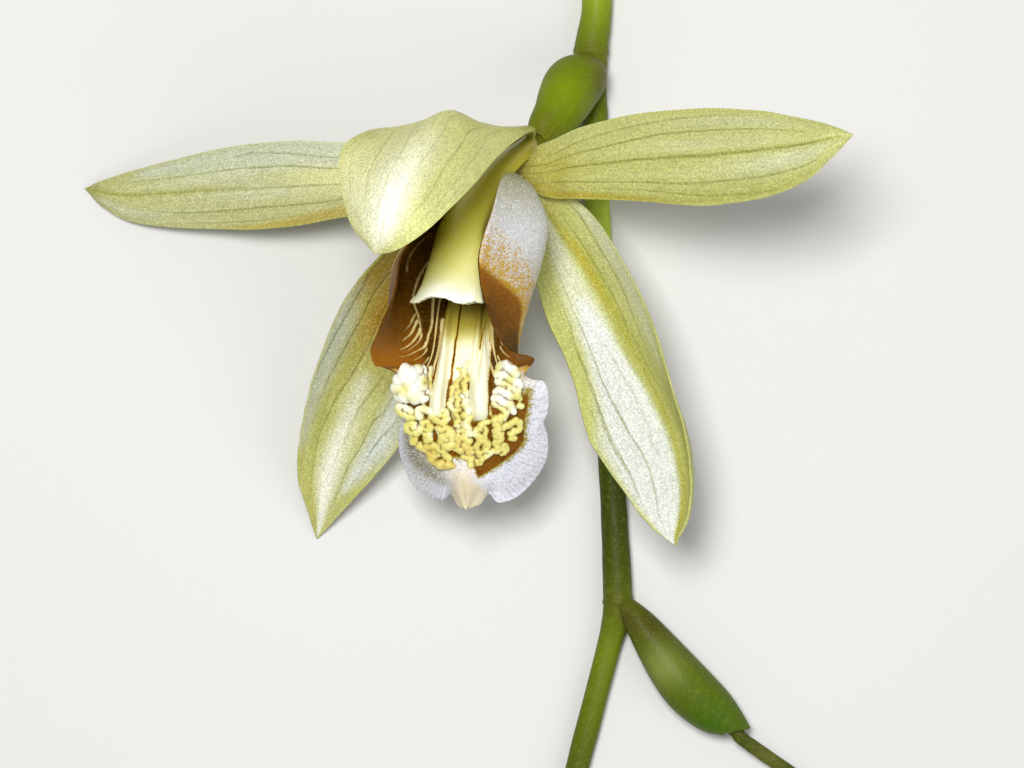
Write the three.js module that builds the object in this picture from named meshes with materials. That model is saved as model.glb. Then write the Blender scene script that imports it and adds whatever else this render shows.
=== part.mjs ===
// One open coelogyne orchid flower, as picked, on the short stretch of flower
// stem that carries it. It lies on its back: the stem, the tip of the left petal
// and the tip of the left sepal touch the surface, and the lip faces up.
//
// Millimetres, +Z up. X runs across the open flower and Y along the stem. Left
// and right are those of someone who looks down on the flower. The origin is on
// the surface, under the middle of the flower's outer box.

import * as THREE from 'three';

// Driving dimensions.
const tepalWall = 0.62; // a sepal or petal at its midrib
const tepalEdge = 0.26; // and at its margin
const tipReach = 0.988; // share of its rails that a tepal fills before its tip closes
const lipWall = 0.5; // the lip between its keels
const lipEdge = 0.28; // and at its margin
const keelRise = 0.8; // height of the three keels on the lip's floor
const bractWall = 0.34; // the sheathing bracts
const faceTurn = THREE.MathUtils.degToRad(26); // turn of the flower's face to the left

// Fineness of the solids.
const tepalSteps = 16;
const tepalAcross = 8;
const lipSteps = 30;
const lipAcross = 22;
const roundSides = 12;
const capArc = 5;
const pollenRings = 6;

const upward = new THREE.Vector3(0, 0, 1);

// A smooth curve through points [x, y, z].
function spline(points) {
  const corners = points.map(([x, y, z]) => new THREE.Vector3(x, y, z));
  return new THREE.CatmullRomCurve3(corners, false, 'catmullrom', 0.5);
}

// A number given at evenly spaced stations, read smoothly at any t from 0 to 1.
function valueAt(values, t) {
  return new THREE.SplineCurve(values.map((value, i) => new THREE.Vector2(i, value))).getPoint(t).y;
}

function signedVolume(points, faces) {
  let volume = 0;
  const normal = new THREE.Vector3();
  for (let f = 0; f < faces.length; f += 3) {
    const [a, b, c] = [points[faces[f]], points[faces[f + 1]], points[faces[f + 2]]];
    volume += a.dot(normal.crossVectors(b, c)) / 6;
  }
  return volume;
}

// Joins rings of points into one closed solid. Its two ends are closed with a fan
// each, or joined to each other when looped is true.
function skin(rings, looped = false) {
  const size = rings[0].length;
  const points = rings.flat();
  const faces = [];
  const bands = looped ? rings.length : rings.length - 1;
  for (let i = 0; i < bands; i++) {
    const here = i * size;
    const next = ((i + 1) % rings.length) * size;
    for (let j = 0; j < size; j++) {
      const k = (j + 1) % size;
      faces.push(here + j, next + j, next + k, here + j, next + k, here + k);
    }
  }
  if (!looped) {
    const first = 0;
    const last = (rings.length - 1) * size;
    const middleOf = (ring) => ring.reduce((sum, p) => sum.add(p), new THREE.Vector3()).divideScalar(size);
    const nearHub = points.push(middleOf(rings[0])) - 1;
    const farHub = points.push(middleOf(rings.at(-1))) - 1;
    for (let j = 0; j < size; j++) {
      const k = (j + 1) % size;
      faces.push(nearHub, first + j, first + k, farHub, last + k, last + j);
    }
  }
  if (signedVolume(points, faces) < 0) faces.reverse();
  const geometry = new THREE.BufferGeometry().setFromPoints(points);
  geometry.setIndex(faces);
  geometry.computeVertexNormals();
  return geometry;
}

// A thin grown sheet around surface(u, t), with u from -1 to 1 across it and t
// from 0 to 1 along it. The function wall(u, t) gives [above, below], the
// thickness on each side of that surface.
function sheet(surface, wall, steps, across, reach = 1) {
  const nudge = 1e-3;
  const normalAt = (u, t) => {
    const along = surface(u, Math.min(t + nudge, 1)).sub(surface(u, Math.max(t - nudge, 0)));
    const aside = surface(Math.min(u + nudge, 1), t).sub(surface(Math.max(u - nudge, -1), t));
    return along.cross(aside).normalize();
  };
  const rings = [];
  for (let i = 0; i <= steps; i++) {
    const t = (i / steps) * reach;
    const upper = [];
    const lower = [];
    for (let j = 0; j <= across; j++) {
      const u = (j / across) * 2 - 1;
      const normal = normalAt(u, t);
      const [above, below] = wall(u, t);
      upper.push(surface(u, t).addScaledVector(normal, above));
      lower.unshift(surface(u, t).addScaledVector(normal, -below));
    }
    rings.push([...upper, ...lower]);
  }
  return skin(rings);
}

// A sheet between rails that follow each other across it, at any u and t.
function between(rails) {
  const paths = rails.map(spline);
  return (u, t) => spline(paths.map((path) => path.getPoint(t).toArray())).getPoint((u + 1) / 2);
}

// A sheet between two margins, arched evenly over its midrib.
function arched({ left, midrib, right }) {
  const rails = { left: spline(left), midrib: spline(midrib), right: spline(right) };
  return (u, t) => new THREE.Vector3()
    .addScaledVector(rails.left.getPoint(t), (u * (u - 1)) / 2)
    .addScaledVector(rails.midrib.getPoint(t), 1 - u * u)
    .addScaledVector(rails.right.getPoint(t), (u * (u + 1)) / 2);
}

// A sepal or petal around its middle surface, with its tip closed.
function tepal(surface) {
  const wall = (u) => {
    const half = THREE.MathUtils.lerp(tepalWall, tepalEdge, u * u) / 2;
    return [half, half];
  };
  return sheet(surface, wall, tepalSteps, tepalAcross, tipReach);
}

// Rings around a path of stations [x, y, z, radius], each with one facet below.
function roundRings(stations, steps, inset = 0) {
  const path = spline(stations);
  const radii = stations.map((station) => station[3]);
  const rings = [];
  for (let i = 0; i <= steps; i++) {
    const t = i / steps;
    const tangent = path.getTangent(t);
    const side = new THREE.Vector3().crossVectors(tangent, upward).normalize();
    const top = new THREE.Vector3().crossVectors(side, tangent);
    const radius = valueAt(radii, t) - inset;
    rings.push(Array.from({ length: roundSides }, (_, j) => {
      const angle = ((j + 0.5) / roundSides) * 2 * Math.PI;
      return path.getPoint(t)
        .addScaledVector(side, radius * Math.sin(angle))
        .addScaledVector(top, -radius * Math.cos(angle));
    }));
  }
  return rings;
}

function stalk({ stations, steps }) {
  return skin(roundRings(stations, steps));
}

// A hollow sheath, open at both ends.
function sheath({ stations, steps }) {
  const outside = roundRings(stations, steps);
  const inside = roundRings(stations, steps, bractWall).reverse();
  return skin([...outside, ...inside], true);
}

// ---- Sepals and petals: stations [x, y, z] from the flower's centre to the tip.

// The dorsal sepal folds over its midrib, so rails halfway out belong to it too.
const dorsalSepal = {
  left: [[6.6, 19.5, 8.6], [3.8, 18.9, 11.4], [-0.1, 19.1, 15.2], [-3.3, 18.3, 19.6], [-5.6, 18, 23.2],
    [-7.5, 16.4, 26], [-7.5, 13.9, 28], [-6.7, 10.8, 29.2], [-5, 8.7, 29.8]],
  leftMiddle: [[6.7, 19.4, 8.7], [4.4, 18.9, 12.4], [1.4, 19, 17.2], [-1.3, 18.8, 21.6], [-3.5, 17, 26.2],
    [-5.3, 14.6, 29], [-5.8, 12.1, 30.2], [-5.6, 10.2, 30.4], [-5, 8.7, 29.8]],
  midrib: [[6.8, 19.3, 8.9], [4.9, 18.8, 13.4], [2.5, 18.7, 18.8], [0.3, 19.1, 23.4], [-1.5, 16.9, 28],
    [-3.1, 14.5, 30.6], [-4, 12, 31.5], [-4.5, 10.2, 31.2], [-5, 8.7, 29.8]],
  rightMiddle: [[6.9, 19.2, 9.1], [5.4, 18.7, 14.4], [3.2, 17.9, 20.2], [1.2, 16.4, 25.2], [-0.6, 14.3, 29],
    [-2, 12.5, 30.9], [-3.1, 10.7, 31.4], [-4, 9.5, 30.9], [-5, 8.7, 29.8]],
  right: [[6.9, 19, 9.4], [5.8, 18.4, 15], [3.7, 16.3, 21], [2.1, 14.1, 25.6], [0.5, 12.2, 29],
    [-1, 10.6, 30.8], [-2.6, 9.4, 31], [-3.9, 8.8, 30.4], [-5, 8.7, 29.8]],
};

const leftPetal = {
  left: [[3.3, 15.6, 8.9], [-0.9, 13.5, 8.8], [-8.2, 12.5, 6.9], [-13.2, 11.8, 5.1], [-18.1, 11.7, 3.2],
    [-24.7, 12.2, 1.3], [-27.8, 13.6, 0.6], [-29.4, 15.1, 0.2]],
  midrib: [[3.3, 16.5, 9.1], [-0.9, 16.1, 8.9], [-8.2, 15.4, 7.2], [-13.1, 15.2, 5.6], [-18.1, 14.9, 3.9],
    [-24.7, 14.4, 2], [-27.7, 14.8, 1], [-29.4, 15.1, 0.2]],
  right: [[3.3, 17.4, 9.3], [-0.9, 18.2, 9], [-8.2, 18.3, 7.1], [-13.2, 18.5, 5.3], [-18.1, 18.1, 3.5],
    [-24.7, 16.7, 1.5], [-27.8, 15.7, 0.7], [-29.4, 15.1, 0.2]],
};

const rightPetal = {
  left: [[6.4, 17, 9.6], [8.1, 18.1, 11.2], [10, 19, 12.6], [14.4, 19.8, 15.6], [18.7, 20, 18.2],
    [23, 19.6, 20.6], [26.2, 18.8, 22.4], [28, 18.3, 23.4], [29.5, 17.6, 24]],
  midrib: [[6.4, 16.1, 9.6], [8.1, 16.1, 11.6], [10, 16.2, 13.2], [14.4, 16.4, 16.4], [18.6, 16.4, 19.2],
    [22.9, 16.6, 21.6], [26.1, 16.9, 23], [28, 17.3, 23.7], [29.5, 17.6, 24]],
  right: [[6.4, 15.2, 9.6], [8.1, 13.7, 11.2], [10, 13.6, 12.8], [14.4, 13.3, 15.6], [18.7, 12.8, 18.2],
    [23, 13.2, 20.4], [26.2, 14.4, 22.2], [28, 16, 23.3], [29.5, 17.6, 24]],
};

const leftSepal = {
  left: [[3.8, 15.8, 8.3], [-2.7, 11.9, 8], [-7.9, 6.6, 7.9], [-10.3, 1.3, 7], [-11.8, -4.1, 5.4],
    [-12.2, -7.9, 3.4], [-11.5, -10.7, 1.8], [-10.9, -12.9, 0.2]],
  midrib: [[4.4, 15.4, 8.7], [-0.1, 10.7, 7.6], [-3.6, 6.1, 6.4], [-6.1, 1.8, 5.2], [-8.1, -2.9, 3.9],
    [-9.5, -6.9, 2.6], [-10.3, -10.2, 1.4], [-10.9, -12.9, 0.2]],
  right: [[4.9, 15, 8.7], [2.1, 8.5, 8.6], [-0.6, 3.7, 8], [-2.1, -0.8, 6.8], [-3.9, -5, 5.4],
    [-6.7, -8.4, 3.6], [-9, -10.9, 1.8], [-10.9, -12.9, 0.2]],
};

const rightSepal = {
  left: [[5.4, 14.9, 8.6], [6.1, 9.7, 9.4], [7.2, 5, 10], [8.8, 1.6, 10.6], [9.9, -2.1, 11.1],
    [10.8, -5.1, 11.5], [12.6, -7.9, 12], [14.9, -10.9, 12.4], [17.1, -12.8, 12.6]],
  midrib: [[6, 15.3, 8.5], [8.4, 11, 8.8], [11.3, 6.5, 8.9], [13.1, 2.4, 9.3], [15.3, -1.6, 9.9],
    [16.8, -5, 10.5], [17.4, -8.1, 11.2], [17.4, -10.8, 12], [17.1, -12.8, 12.6]],
  right: [[6.6, 15.7, 8.6], [10.8, 12.5, 11], [14.1, 7.1, 12.6], [15.9, 2.7, 13.4], [17, -1.4, 13.9],
    [17.9, -4.8, 14.1], [18.2, -7.8, 14], [17.9, -10.7, 13.4], [17.1, -12.8, 12.6]],
};

// ---- Lip: one grown piece between seven rails, in order across it. The first
// eight stations are the trough with its two tall side lobes, the rest is the
// spreading front lobe.

const lipRails = {
  leftMargin: [[2.5, 15.5, 10.8], [-0.9, 13.5, 17.5], [-1.8, 11.2, 21.4], [-3.1, 9.1, 22.8],
    [-3.7, 7.2, 22.9], [-4.1, 5.5, 22.2], [-4.8, 3.8, 20.9], [-5.6, 2.1, 19], [-4.7, 1, 16.6],
    [-3.8, 0.1, 14.9], [-4.3, -1, 14], [-4.1, -3.2, 12.4], [-3.7, -5.6, 10.9], [-3.1, -7.9, 9.8],
    [-1.5, -9.3, 9.8], [0.6, -9.9, 11.2]],
  leftWall: [[2.8, 15.2, 10.3], [-1, 13.6, 14], [-2.1, 11.2, 16.6], [-3.5, 9, 17.6], [-4, 7.2, 18],
    [-4.1, 5.3, 17.5], [-3.8, 3.4, 16.6], [-3.4, 1.8, 15.7], [-3, 0.7, 14.9], [-2.7, -0.3, 14.5],
    [-3.2, -1.6, 14.3], [-3.1, -3.8, 13.4], [-2.8, -5.9, 12.2], [-2.2, -7.8, 11], [-0.8, -9, 10.8],
    [0.8, -9.9, 11.4]],
  leftFloor: [[3.4, 15, 9.9], [1.2, 13.2, 10.8], [0.9, 11.3, 11.3], [0.2, 9.3, 11.7], [-0.4, 7.4, 12.2],
    [-0.9, 5.4, 12.8], [-1.1, 3.4, 13.3], [-1.2, 1.7, 13.8], [-1.3, 0.6, 14.1], [-1.3, -0.6, 14.3],
    [-1.4, -1.7, 14.4], [-1.4, -3.8, 14], [-1.1, -5.9, 13.2], [-0.7, -7.7, 12.2], [0, -8.8, 11.6],
    [1, -9.9, 11.5]],
  middle: [[4.1, 15, 9.8], [3.3, 13.3, 10.3], [2.8, 11.4, 10.9], [2.3, 9.3, 11.4], [1.8, 7.4, 12],
    [1.4, 5.4, 12.7], [1.2, 3.4, 13.4], [1.1, 1.7, 13.9], [1, 0.6, 14.1], [1, -0.6, 14.3],
    [1, -1.7, 14.4], [1.1, -3.8, 14.1], [1.1, -5.8, 13.5], [1.1, -7.6, 12.8], [1.2, -8.7, 12.1],
    [1.2, -9.9, 11.5]],
  rightFloor: [[4.6, 15, 10], [4.7, 13.7, 11], [4.4, 11.7, 11.6], [4.2, 9.6, 12], [3.9, 7.6, 12.5],
    [3.7, 5.6, 13.1], [3.5, 3.6, 13.6], [3.3, 1.8, 14.1], [3.3, 0.6, 14.3], [3.4, -0.5, 14.5],
    [3.6, -1.6, 14.6], [3.6, -3.7, 14.2], [3.6, -5.6, 13.4], [3.2, -7.5, 12.5], [2.3, -8.7, 11.8],
    [1.4, -9.9, 11.5]],
  rightWall: [[5.1, 15.2, 10.6], [6.2, 14.2, 15.4], [7.2, 11.8, 16.8], [7.1, 9.9, 17.4],
    [6.5, 7.6, 17.7], [5.9, 5.7, 17.7], [5.4, 3.8, 17.2], [5, 2.1, 16.4], [4.9, 0.9, 15.2],
    [4.8, -0.2, 14.9], [5.5, -1.2, 14.6], [5.8, -3.2, 13.7], [5.8, -5.3, 12.6], [5.2, -7.5, 11.5],
    [3.6, -8.9, 11.1], [1.6, -9.9, 11.4]],
  rightMargin: [[5.5, 15.4, 11.6], [4.1, 14.9, 19], [3.1, 11.6, 23.4], [2.5, 9.3, 24.8],
    [2.4, 7.3, 24.6], [2.9, 5.4, 23.4], [3.4, 3.8, 21.8], [4.3, 2.2, 19.4], [6.3, 1.3, 17.2],
    [5.6, 0.3, 15.2], [7.3, -0.4, 14.2], [7.6, -2, 12.9], [7.6, -4.5, 11.4], [7.2, -7, 10.2],
    [5.1, -9.3, 10.2], [1.8, -9.9, 11.3]],
};
const keels = { places: [-0.3, 0, 0.3], halfWidth: 0.07, start: 0.3, full: 0.42, fade: 0.66, end: 0.78 };

function lip() {
  const wall = (u, t) => {
    const half = THREE.MathUtils.lerp(lipWall, lipEdge, u * u) / 2;
    const length = THREE.MathUtils.smoothstep(t, keels.start, keels.full)
      * (1 - THREE.MathUtils.smoothstep(t, keels.fade, keels.end));
    const crest = Math.max(...keels.places.map((place) => Math.exp(-(((u - place) / keels.halfWidth) ** 2))));
    return [half + keelRise * length * crest, half];
  };
  return sheet(between(Object.values(lipRails)), wall, lipSteps, lipAcross);
}

// ---- Column: stations [x, y, z, half width], from its foot to its hooded end.
// Its back is round. Its front is full at the foot and hollow under the hood.

const columnStations = [
  [4.6, 17, 10.4, 0.95], [3.5, 15.5, 12.9, 1.1], [2, 13.4, 15.2, 1.5], [0.95, 11.2, 17, 1.8],
  [0.6, 9, 18.8, 2.05], [0.3, 7, 19.7, 2.4], [0.1, 6.1, 20, 2.65], [-0.05, 5.5, 20, 2.95],
];
const column = {
  steps: 20,
  arc: 8,
  edge: 0.16,
  back: [0.7, 0.8, 0.9, 0.95, 1, 1, 1, 1],
  front: [0.5, 0.5, 0.5, 0.4, 0.1, -0.45, -0.6, -0.65],
};

// The place of the column at t, and the directions out of its right side and out of
// its back.
function columnFrame(t) {
  const path = spline(columnStations);
  const along = path.getTangent(t);
  const side = new THREE.Vector3(Math.cos(faceTurn), 0, Math.sin(faceTurn));
  side.addScaledVector(along, -side.dot(along)).normalize();
  const back = new THREE.Vector3().crossVectors(along, side);
  return { place: path.getPoint(t), side, back };
}

function columnSolid() {
  const widths = columnStations.map((station) => station[3]);
  const rings = [];
  for (let i = 0; i <= column.steps; i++) {
    const t = i / column.steps;
    const { place, side, back } = columnFrame(t);
    const halfWidth = valueAt(widths, t);
    const arc = (turn, rise) => Array.from({ length: column.arc + 1 }, (_, j) => {
      const angle = (j / column.arc) * Math.PI;
      return place.clone()
        .addScaledVector(side, turn * halfWidth * Math.cos(angle))
        .addScaledVector(back, turn * (rise * Math.sin(angle) + column.edge));
    });
    rings.push([...arc(1, valueAt(column.back, t)), ...arc(-1, valueAt(column.front, t))]);
  }
  return skin(rings);
}

// ---- Anther cap: a small cup under the hood, open to the column, over the pollen.

const cap = { place: 0.82, radius: 0.88, depth: 0.8, wall: 0.2, below: 0.3 };

// Turns a solid that was made around +Y into the hollow of the column's hood, with
// +Y out of the column's back, and sets it that far below the column's middle line.
function underHood(geometry, below) {
  const { place, side, back } = columnFrame(cap.place);
  const turn = new THREE.Matrix4().makeBasis(side, back, side.clone().cross(back));
  turn.setPosition(place.addScaledVector(back, -below));
  return geometry.applyMatrix4(turn);
}

function antherCap() {
  const bowl = (inset) => Array.from({ length: capArc + 1 }, (_, i) => {
    const angle = (i / capArc) * (Math.PI / 2);
    const [radius, depth] = [cap.radius - inset, cap.depth - inset];
    return new THREE.Vector2(radius * Math.sin(angle), -depth * Math.cos(angle));
  });
  const profile = [...bowl(0), ...bowl(cap.wall).reverse()];
  return underHood(new THREE.LatheGeometry(profile, roundSides), cap.below);
}

// ---- Pollinarium: four waxy pollen masses that lift out as one.

const pollen = { radius: 0.38, notch: 0.36, halfHeight: 0.14, below: 0.36 };

function pollinarium() {
  const solid = new THREE.SphereGeometry(1, 2 * roundSides, pollenRings);
  const places = solid.getAttribute('position');
  for (let i = 0; i < places.count; i++) {
    const [x, y, z] = [places.getX(i), places.getY(i), places.getZ(i)];
    const lobe = pollen.radius * (1 - pollen.notch * Math.abs(Math.cos(2 * Math.atan2(z, x))));
    places.setXYZ(i, x * lobe, y * pollen.halfHeight, z * lobe);
  }
  return underHood(solid, pollen.below);
}

// ---- Flower stem, bracts and flower stalks.

// The stem lies on the surface: stations [x, y, radius], with its lowest facet at 0.
const stemPath = {
  steps: 42,
  stations: [
    [11.5, 35.5, 1.2], [11.5, 31.7, 1.2], [11.4, 28.9, 1.2], [11, 25.9, 1.35], [11.2, 23.3, 1.05],
    [11.4, 18.9, 0.97], [11.5, 14.2, 0.97], [11.9, 6.2, 1], [12.3, -1.8, 1.03], [12.8, -10.1, 1.05],
    [13.1, -16.5, 1.15], [13.1, -18.7, 1.15], [12.3, -21.9, 0.95], [9.9, -31.1, 0.92], [8.8, -35.3, 0.9],
  ],
};

function stem() {
  const facet = Math.cos(Math.PI / roundSides);
  const stations = stemPath.stations.map(([x, y, radius]) => [x, y, radius * facet, radius]);
  return stalk({ steps: stemPath.steps, stations });
}

// Bracts and stalks: stations [x, y, z, radius] from the stem outwards.
const upperBract = {
  steps: 10,
  stations: [
    [10.2, 24.8, 3.3, 1.15], [9.8, 23.7, 4, 1.8], [9, 22.1, 5.2, 1.95], [8, 20.6, 6.5, 1.8],
    [7.2, 19.3, 7.3, 1.5],
  ],
};
const upperStalk = {
  steps: 16,
  stations: [
    [10.2, 24.8, 3.3, 0.45], [9.8, 23.7, 4, 0.5], [9, 22.1, 5.2, 0.55], [8, 20.6, 6.5, 0.65],
    [7.1, 19.2, 7.3, 0.75], [6, 17.9, 7.8, 0.95], [5.2, 16.9, 8, 1.2], [4.8, 16.4, 8, 1],
  ],
};
const lowerBract = {
  steps: 12,
  stations: [
    [15, -19.1, 2.2, 1], [15.9, -20.8, 2.1, 1.5], [17.1, -22.6, 2.1, 1.9], [18.8, -24.7, 2.15, 2.08],
    [20.8, -26.6, 2.1, 1.8], [22.4, -28, 2, 1.4], [23.1, -28.7, 1.9, 1.2],
  ],
};
const lowerStalk = {
  steps: 18,
  stations: [
    [15, -19.1, 2.2, 0.36], [15.9, -20.8, 2.1, 0.45], [17.1, -22.6, 2.1, 0.5], [18.8, -24.7, 2.15, 0.55],
    [20.8, -26.6, 2.1, 0.55], [22.4, -28, 2, 0.55], [23.2, -28.8, 1.85, 0.55], [26.4, -31.1, 1.1, 0.55],
    [28.4, -32.6, 0.75, 0.55],
  ],
};

// ---- Materials and the assembled flower.

function flesh(color, roughness) {
  return new THREE.MeshStandardMaterial({ color, roughness, metalness: 0, side: THREE.DoubleSide });
}

const tepalFlesh = flesh(0xdfe0a4, 0.5);
const lipFlesh = flesh(0xd9c79a, 0.5);
const columnFlesh = flesh(0xe6e3a0, 0.45);
const pollenWax = flesh(0xe0b040, 0.4);
const stemFlesh = flesh(0x7d8c3c, 0.5);
const bractFlesh = flesh(0x8a9a33, 0.5);

const pieces = {
  flower_stem: [stem(), stemFlesh],
  upper_bract: [sheath(upperBract), bractFlesh],
  ovary_stalk: [stalk(upperStalk), stemFlesh],
  dorsal_sepal: [tepal(between(Object.values(dorsalSepal))), tepalFlesh],
  left_petal: [tepal(arched(leftPetal)), tepalFlesh],
  right_petal: [tepal(arched(rightPetal)), tepalFlesh],
  left_sepal: [tepal(arched(leftSepal)), tepalFlesh],
  right_sepal: [tepal(arched(rightSepal)), tepalFlesh],
  lip: [lip(), lipFlesh],
  column: [columnSolid(), columnFlesh],
  anther_cap: [antherCap(), columnFlesh],
  pollinarium: [pollinarium(), pollenWax],
  lower_bract: [sheath(lowerBract), bractFlesh],
  lower_stalk: [stalk(lowerStalk), stemFlesh],
};

const flower = new THREE.Group();
for (const [name, [geometry, material]] of Object.entries(pieces)) {
  const mesh = new THREE.Mesh(geometry, material);
  mesh.name = name;
  flower.add(mesh);
}

export default flower;
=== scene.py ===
import math

import bmesh
import bpy
import numpy as np
from mathutils.kdtree import KDTree
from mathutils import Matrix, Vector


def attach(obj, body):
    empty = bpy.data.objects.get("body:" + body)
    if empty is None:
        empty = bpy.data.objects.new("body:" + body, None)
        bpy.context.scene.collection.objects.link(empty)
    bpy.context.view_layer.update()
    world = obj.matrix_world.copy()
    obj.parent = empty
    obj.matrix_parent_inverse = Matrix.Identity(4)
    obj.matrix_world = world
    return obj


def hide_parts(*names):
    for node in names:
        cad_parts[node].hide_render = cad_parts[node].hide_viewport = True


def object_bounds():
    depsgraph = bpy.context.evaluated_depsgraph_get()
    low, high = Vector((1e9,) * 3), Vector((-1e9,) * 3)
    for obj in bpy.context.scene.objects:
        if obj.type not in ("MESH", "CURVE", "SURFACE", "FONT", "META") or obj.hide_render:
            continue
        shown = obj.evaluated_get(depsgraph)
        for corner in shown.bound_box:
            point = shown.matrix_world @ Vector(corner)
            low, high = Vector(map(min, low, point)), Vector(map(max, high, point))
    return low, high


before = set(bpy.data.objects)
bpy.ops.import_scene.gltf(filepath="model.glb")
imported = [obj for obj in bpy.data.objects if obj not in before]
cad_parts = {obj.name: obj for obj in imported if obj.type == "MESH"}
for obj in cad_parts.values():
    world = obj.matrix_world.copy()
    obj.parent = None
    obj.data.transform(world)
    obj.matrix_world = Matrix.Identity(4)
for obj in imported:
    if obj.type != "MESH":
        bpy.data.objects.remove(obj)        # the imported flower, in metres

# One open coelogyne flower on its cut stem, lying on its back. Points are in
# millimetres: X across the flower, Y along the stem, Z up. Left and right are
# those of someone who looks down on it.

cadBox = [list(corner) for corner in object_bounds()]
mm = 0.001
faceTurn = math.radians(26)      # turn of the flower's face to the left


# numbers

def curveAt(points, t):          # a smooth curve through points, read at every t from 0 to 1
    points = np.asarray(points, float)
    last = len(points) - 1
    knots = np.concatenate([2 * points[:1] - points[1:2], points, 2 * points[-1:] - points[-2:-1]])
    place = np.clip(np.asarray(t, float), 0, 1) * last
    first = np.minimum(place.astype(int), last - 1)
    rest = (place - first).reshape(-1, *[1] * (points.ndim - 1))
    a, b, c, d = (knots[first + k] for k in range(4))
    return b + 0.5 * rest * (c - a + rest * (2 * a - 5 * b + 4 * c - d + rest * (3 * (b - c) + d - a)))


def step(value, low, high):      # 0 below low, 1 above high, smooth between
    share = np.clip((value - low) / (high - low), 0, 1)
    return share * share * (3 - 2 * share)


def bell(value, centre, spread):
    return np.exp(-((value - centre) / spread) ** 2)


def drift(seed, waves, *axes):   # slow seeded unevenness, about -1 to 1
    draw = np.random.default_rng(seed)
    total = 0.0
    for _ in range(waves):
        slopes = draw.normal(0, 1, len(axes))
        phase = draw.uniform(0, 2 * math.pi)
        total = total + np.sin(phase + sum(slope * axis for slope, axis in zip(slopes, axes)))
    return total * math.sqrt(2 / waves) / 1.6


def unit(vectors):
    return vectors / np.maximum(np.linalg.norm(vectors, axis=-1, keepdims=True), 1e-9)


def normalsOf(grid):             # rows run along the sheet, columns across it
    return unit(np.cross(np.gradient(grid, axis=0), np.gradient(grid, axis=1)))


def tint(code):                  # a hex colour as linear red, green, blue
    parts = np.array([code >> 16 & 255, code >> 8 & 255, code & 255]) / 255
    return np.where(parts < 0.04045, parts / 12.92, ((parts + 0.055) / 1.055) ** 2.4)


def paint(base, zones, u, t):    # soft patches [colour, across, spread, along, spread, strength] on a base
    colour = np.broadcast_to(tint(base), (*u.shape, 3)).copy()
    for code, across, acrossSpread, along, alongSpread, strength in zones:
        share = strength * bell(u, across, acrossSpread) * bell(t, along, alongSpread)
        colour += (tint(code) - colour) * share[..., None]
    return colour


# meshes

def ringFaces(rows, size, looped=False):
    i, j = np.meshgrid(np.arange(rows if looped else rows - 1), np.arange(size), indexing="ij")
    k, m = (i + 1) % rows, (j + 1) % size
    return np.stack([i * size + j, k * size + j, k * size + m, i * size + m], -1).reshape(-1, 4).tolist()


def flatEnds(rows, size):        # closes a flat sheet's first and last ring, side against side
    return [[start + j, start + j + 1, start + size - 2 - j, start + size - 1 - j]
            for start in (0, (rows - 1) * size) for j in range(size // 2 - 1)]


def roundEnds(rows, size):       # closes a tube's first and last ring with one face each
    return [list(range(start, start + size)) for start in (0, (rows - 1) * size)]


def addField(mesh, name, values):
    mesh.attributes.new(name, "FLOAT", "POINT").data.foreach_set("value", np.ravel(values))


def paintMesh(mesh, colour):
    full = np.concatenate([colour.reshape(-1, 3), np.ones((colour.size // 3, 1))], 1)
    mesh.attributes.new("flesh", "FLOAT_COLOR", "POINT").data.foreach_set("color", full.ravel())


def makeMesh(name, points, faces, colour, uv=None, fields=None):
    mesh = bpy.data.meshes.new(name)
    mesh.from_pydata((points.reshape(-1, 3) * mm).tolist(), [], faces)
    if uv is not None:
        corners = np.empty(len(mesh.loops), int)
        mesh.loops.foreach_get("vertex_index", corners)
        layer = mesh.uv_layers.new(name="grown")
        layer.data.foreach_set("uv", uv.reshape(-1, 2)[corners].ravel())
    for field, values in (fields or {}).items():
        addField(mesh, field, values)
    paintMesh(mesh, colour)
    body = bmesh.new()
    body.from_mesh(mesh)
    bmesh.ops.recalc_face_normals(body, faces=body.faces)
    body.to_mesh(mesh)
    body.free()
    mesh.shade_smooth()
    return mesh


def sheetMesh(name, upper, lower, u, t, fields, upperColour, lowerColour):
    # a closed thin sheet: rings go over the upper side and back under the lower one
    def ring(above, below):
        return np.concatenate([above, below[:, ::-1]], 1)
    rows, size = upper.shape[0], 2 * upper.shape[1]
    faces = ringFaces(rows, size) + flatEnds(rows, size)
    uv = np.stack([ring(u, u) / 2 + 0.5, ring(t, t)], -1)
    sides = {key: ring(above, below) for key, (above, below) in fields.items()}
    return makeMesh(name, ring(upper, lower), faces, ring(upperColour, lowerColour), uv, sides)


def markColours(base, marks, points):    # round soft marks [colour, point, reach, strength] on a base
    colour = np.broadcast_to(tint(base), points.shape).copy()
    for code, spot, reach, strength in marks:
        share = strength * np.exp(-(((points - spot) / reach) ** 2).sum(-1))
        colour += (tint(code) - colour) * share[..., None]
    return colour


def newObject(name, content):
    piece = bpy.data.objects.new(name, content)
    bpy.context.scene.collection.objects.link(piece)
    return piece


def keepPiece(name, mesh, finish, slot, *nodes):
    mesh.materials.clear()
    mesh.materials.append(finish)
    piece = newObject(name, mesh)
    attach(piece, "root")
    if nodes:
        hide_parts(*nodes)
    print(f"{name}: {len(mesh.polygons)} faces")


# node graphs: a socket that takes part in plain arithmetic

class Wire:
    def __init__(self, graph, socket):
        self.graph, self.socket = graph, socket

    def smooth(self, low, high):
        values = {"Value": self, "From Min": low, "From Max": high}
        return self.graph.node("ShaderNodeMapRange", {"interpolation_type": "SMOOTHSTEP"}, values)

    def absolute(self):
        return self.graph.maths("ABSOLUTE", self)

    def fraction(self):
        return self.graph.maths("FRACT", self)


def operatorFor(operation, reflected):
    def apply(self, other):
        first, second = (other, self) if reflected else (self, other)
        return self.graph.maths(operation, first, second)
    return apply


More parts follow.
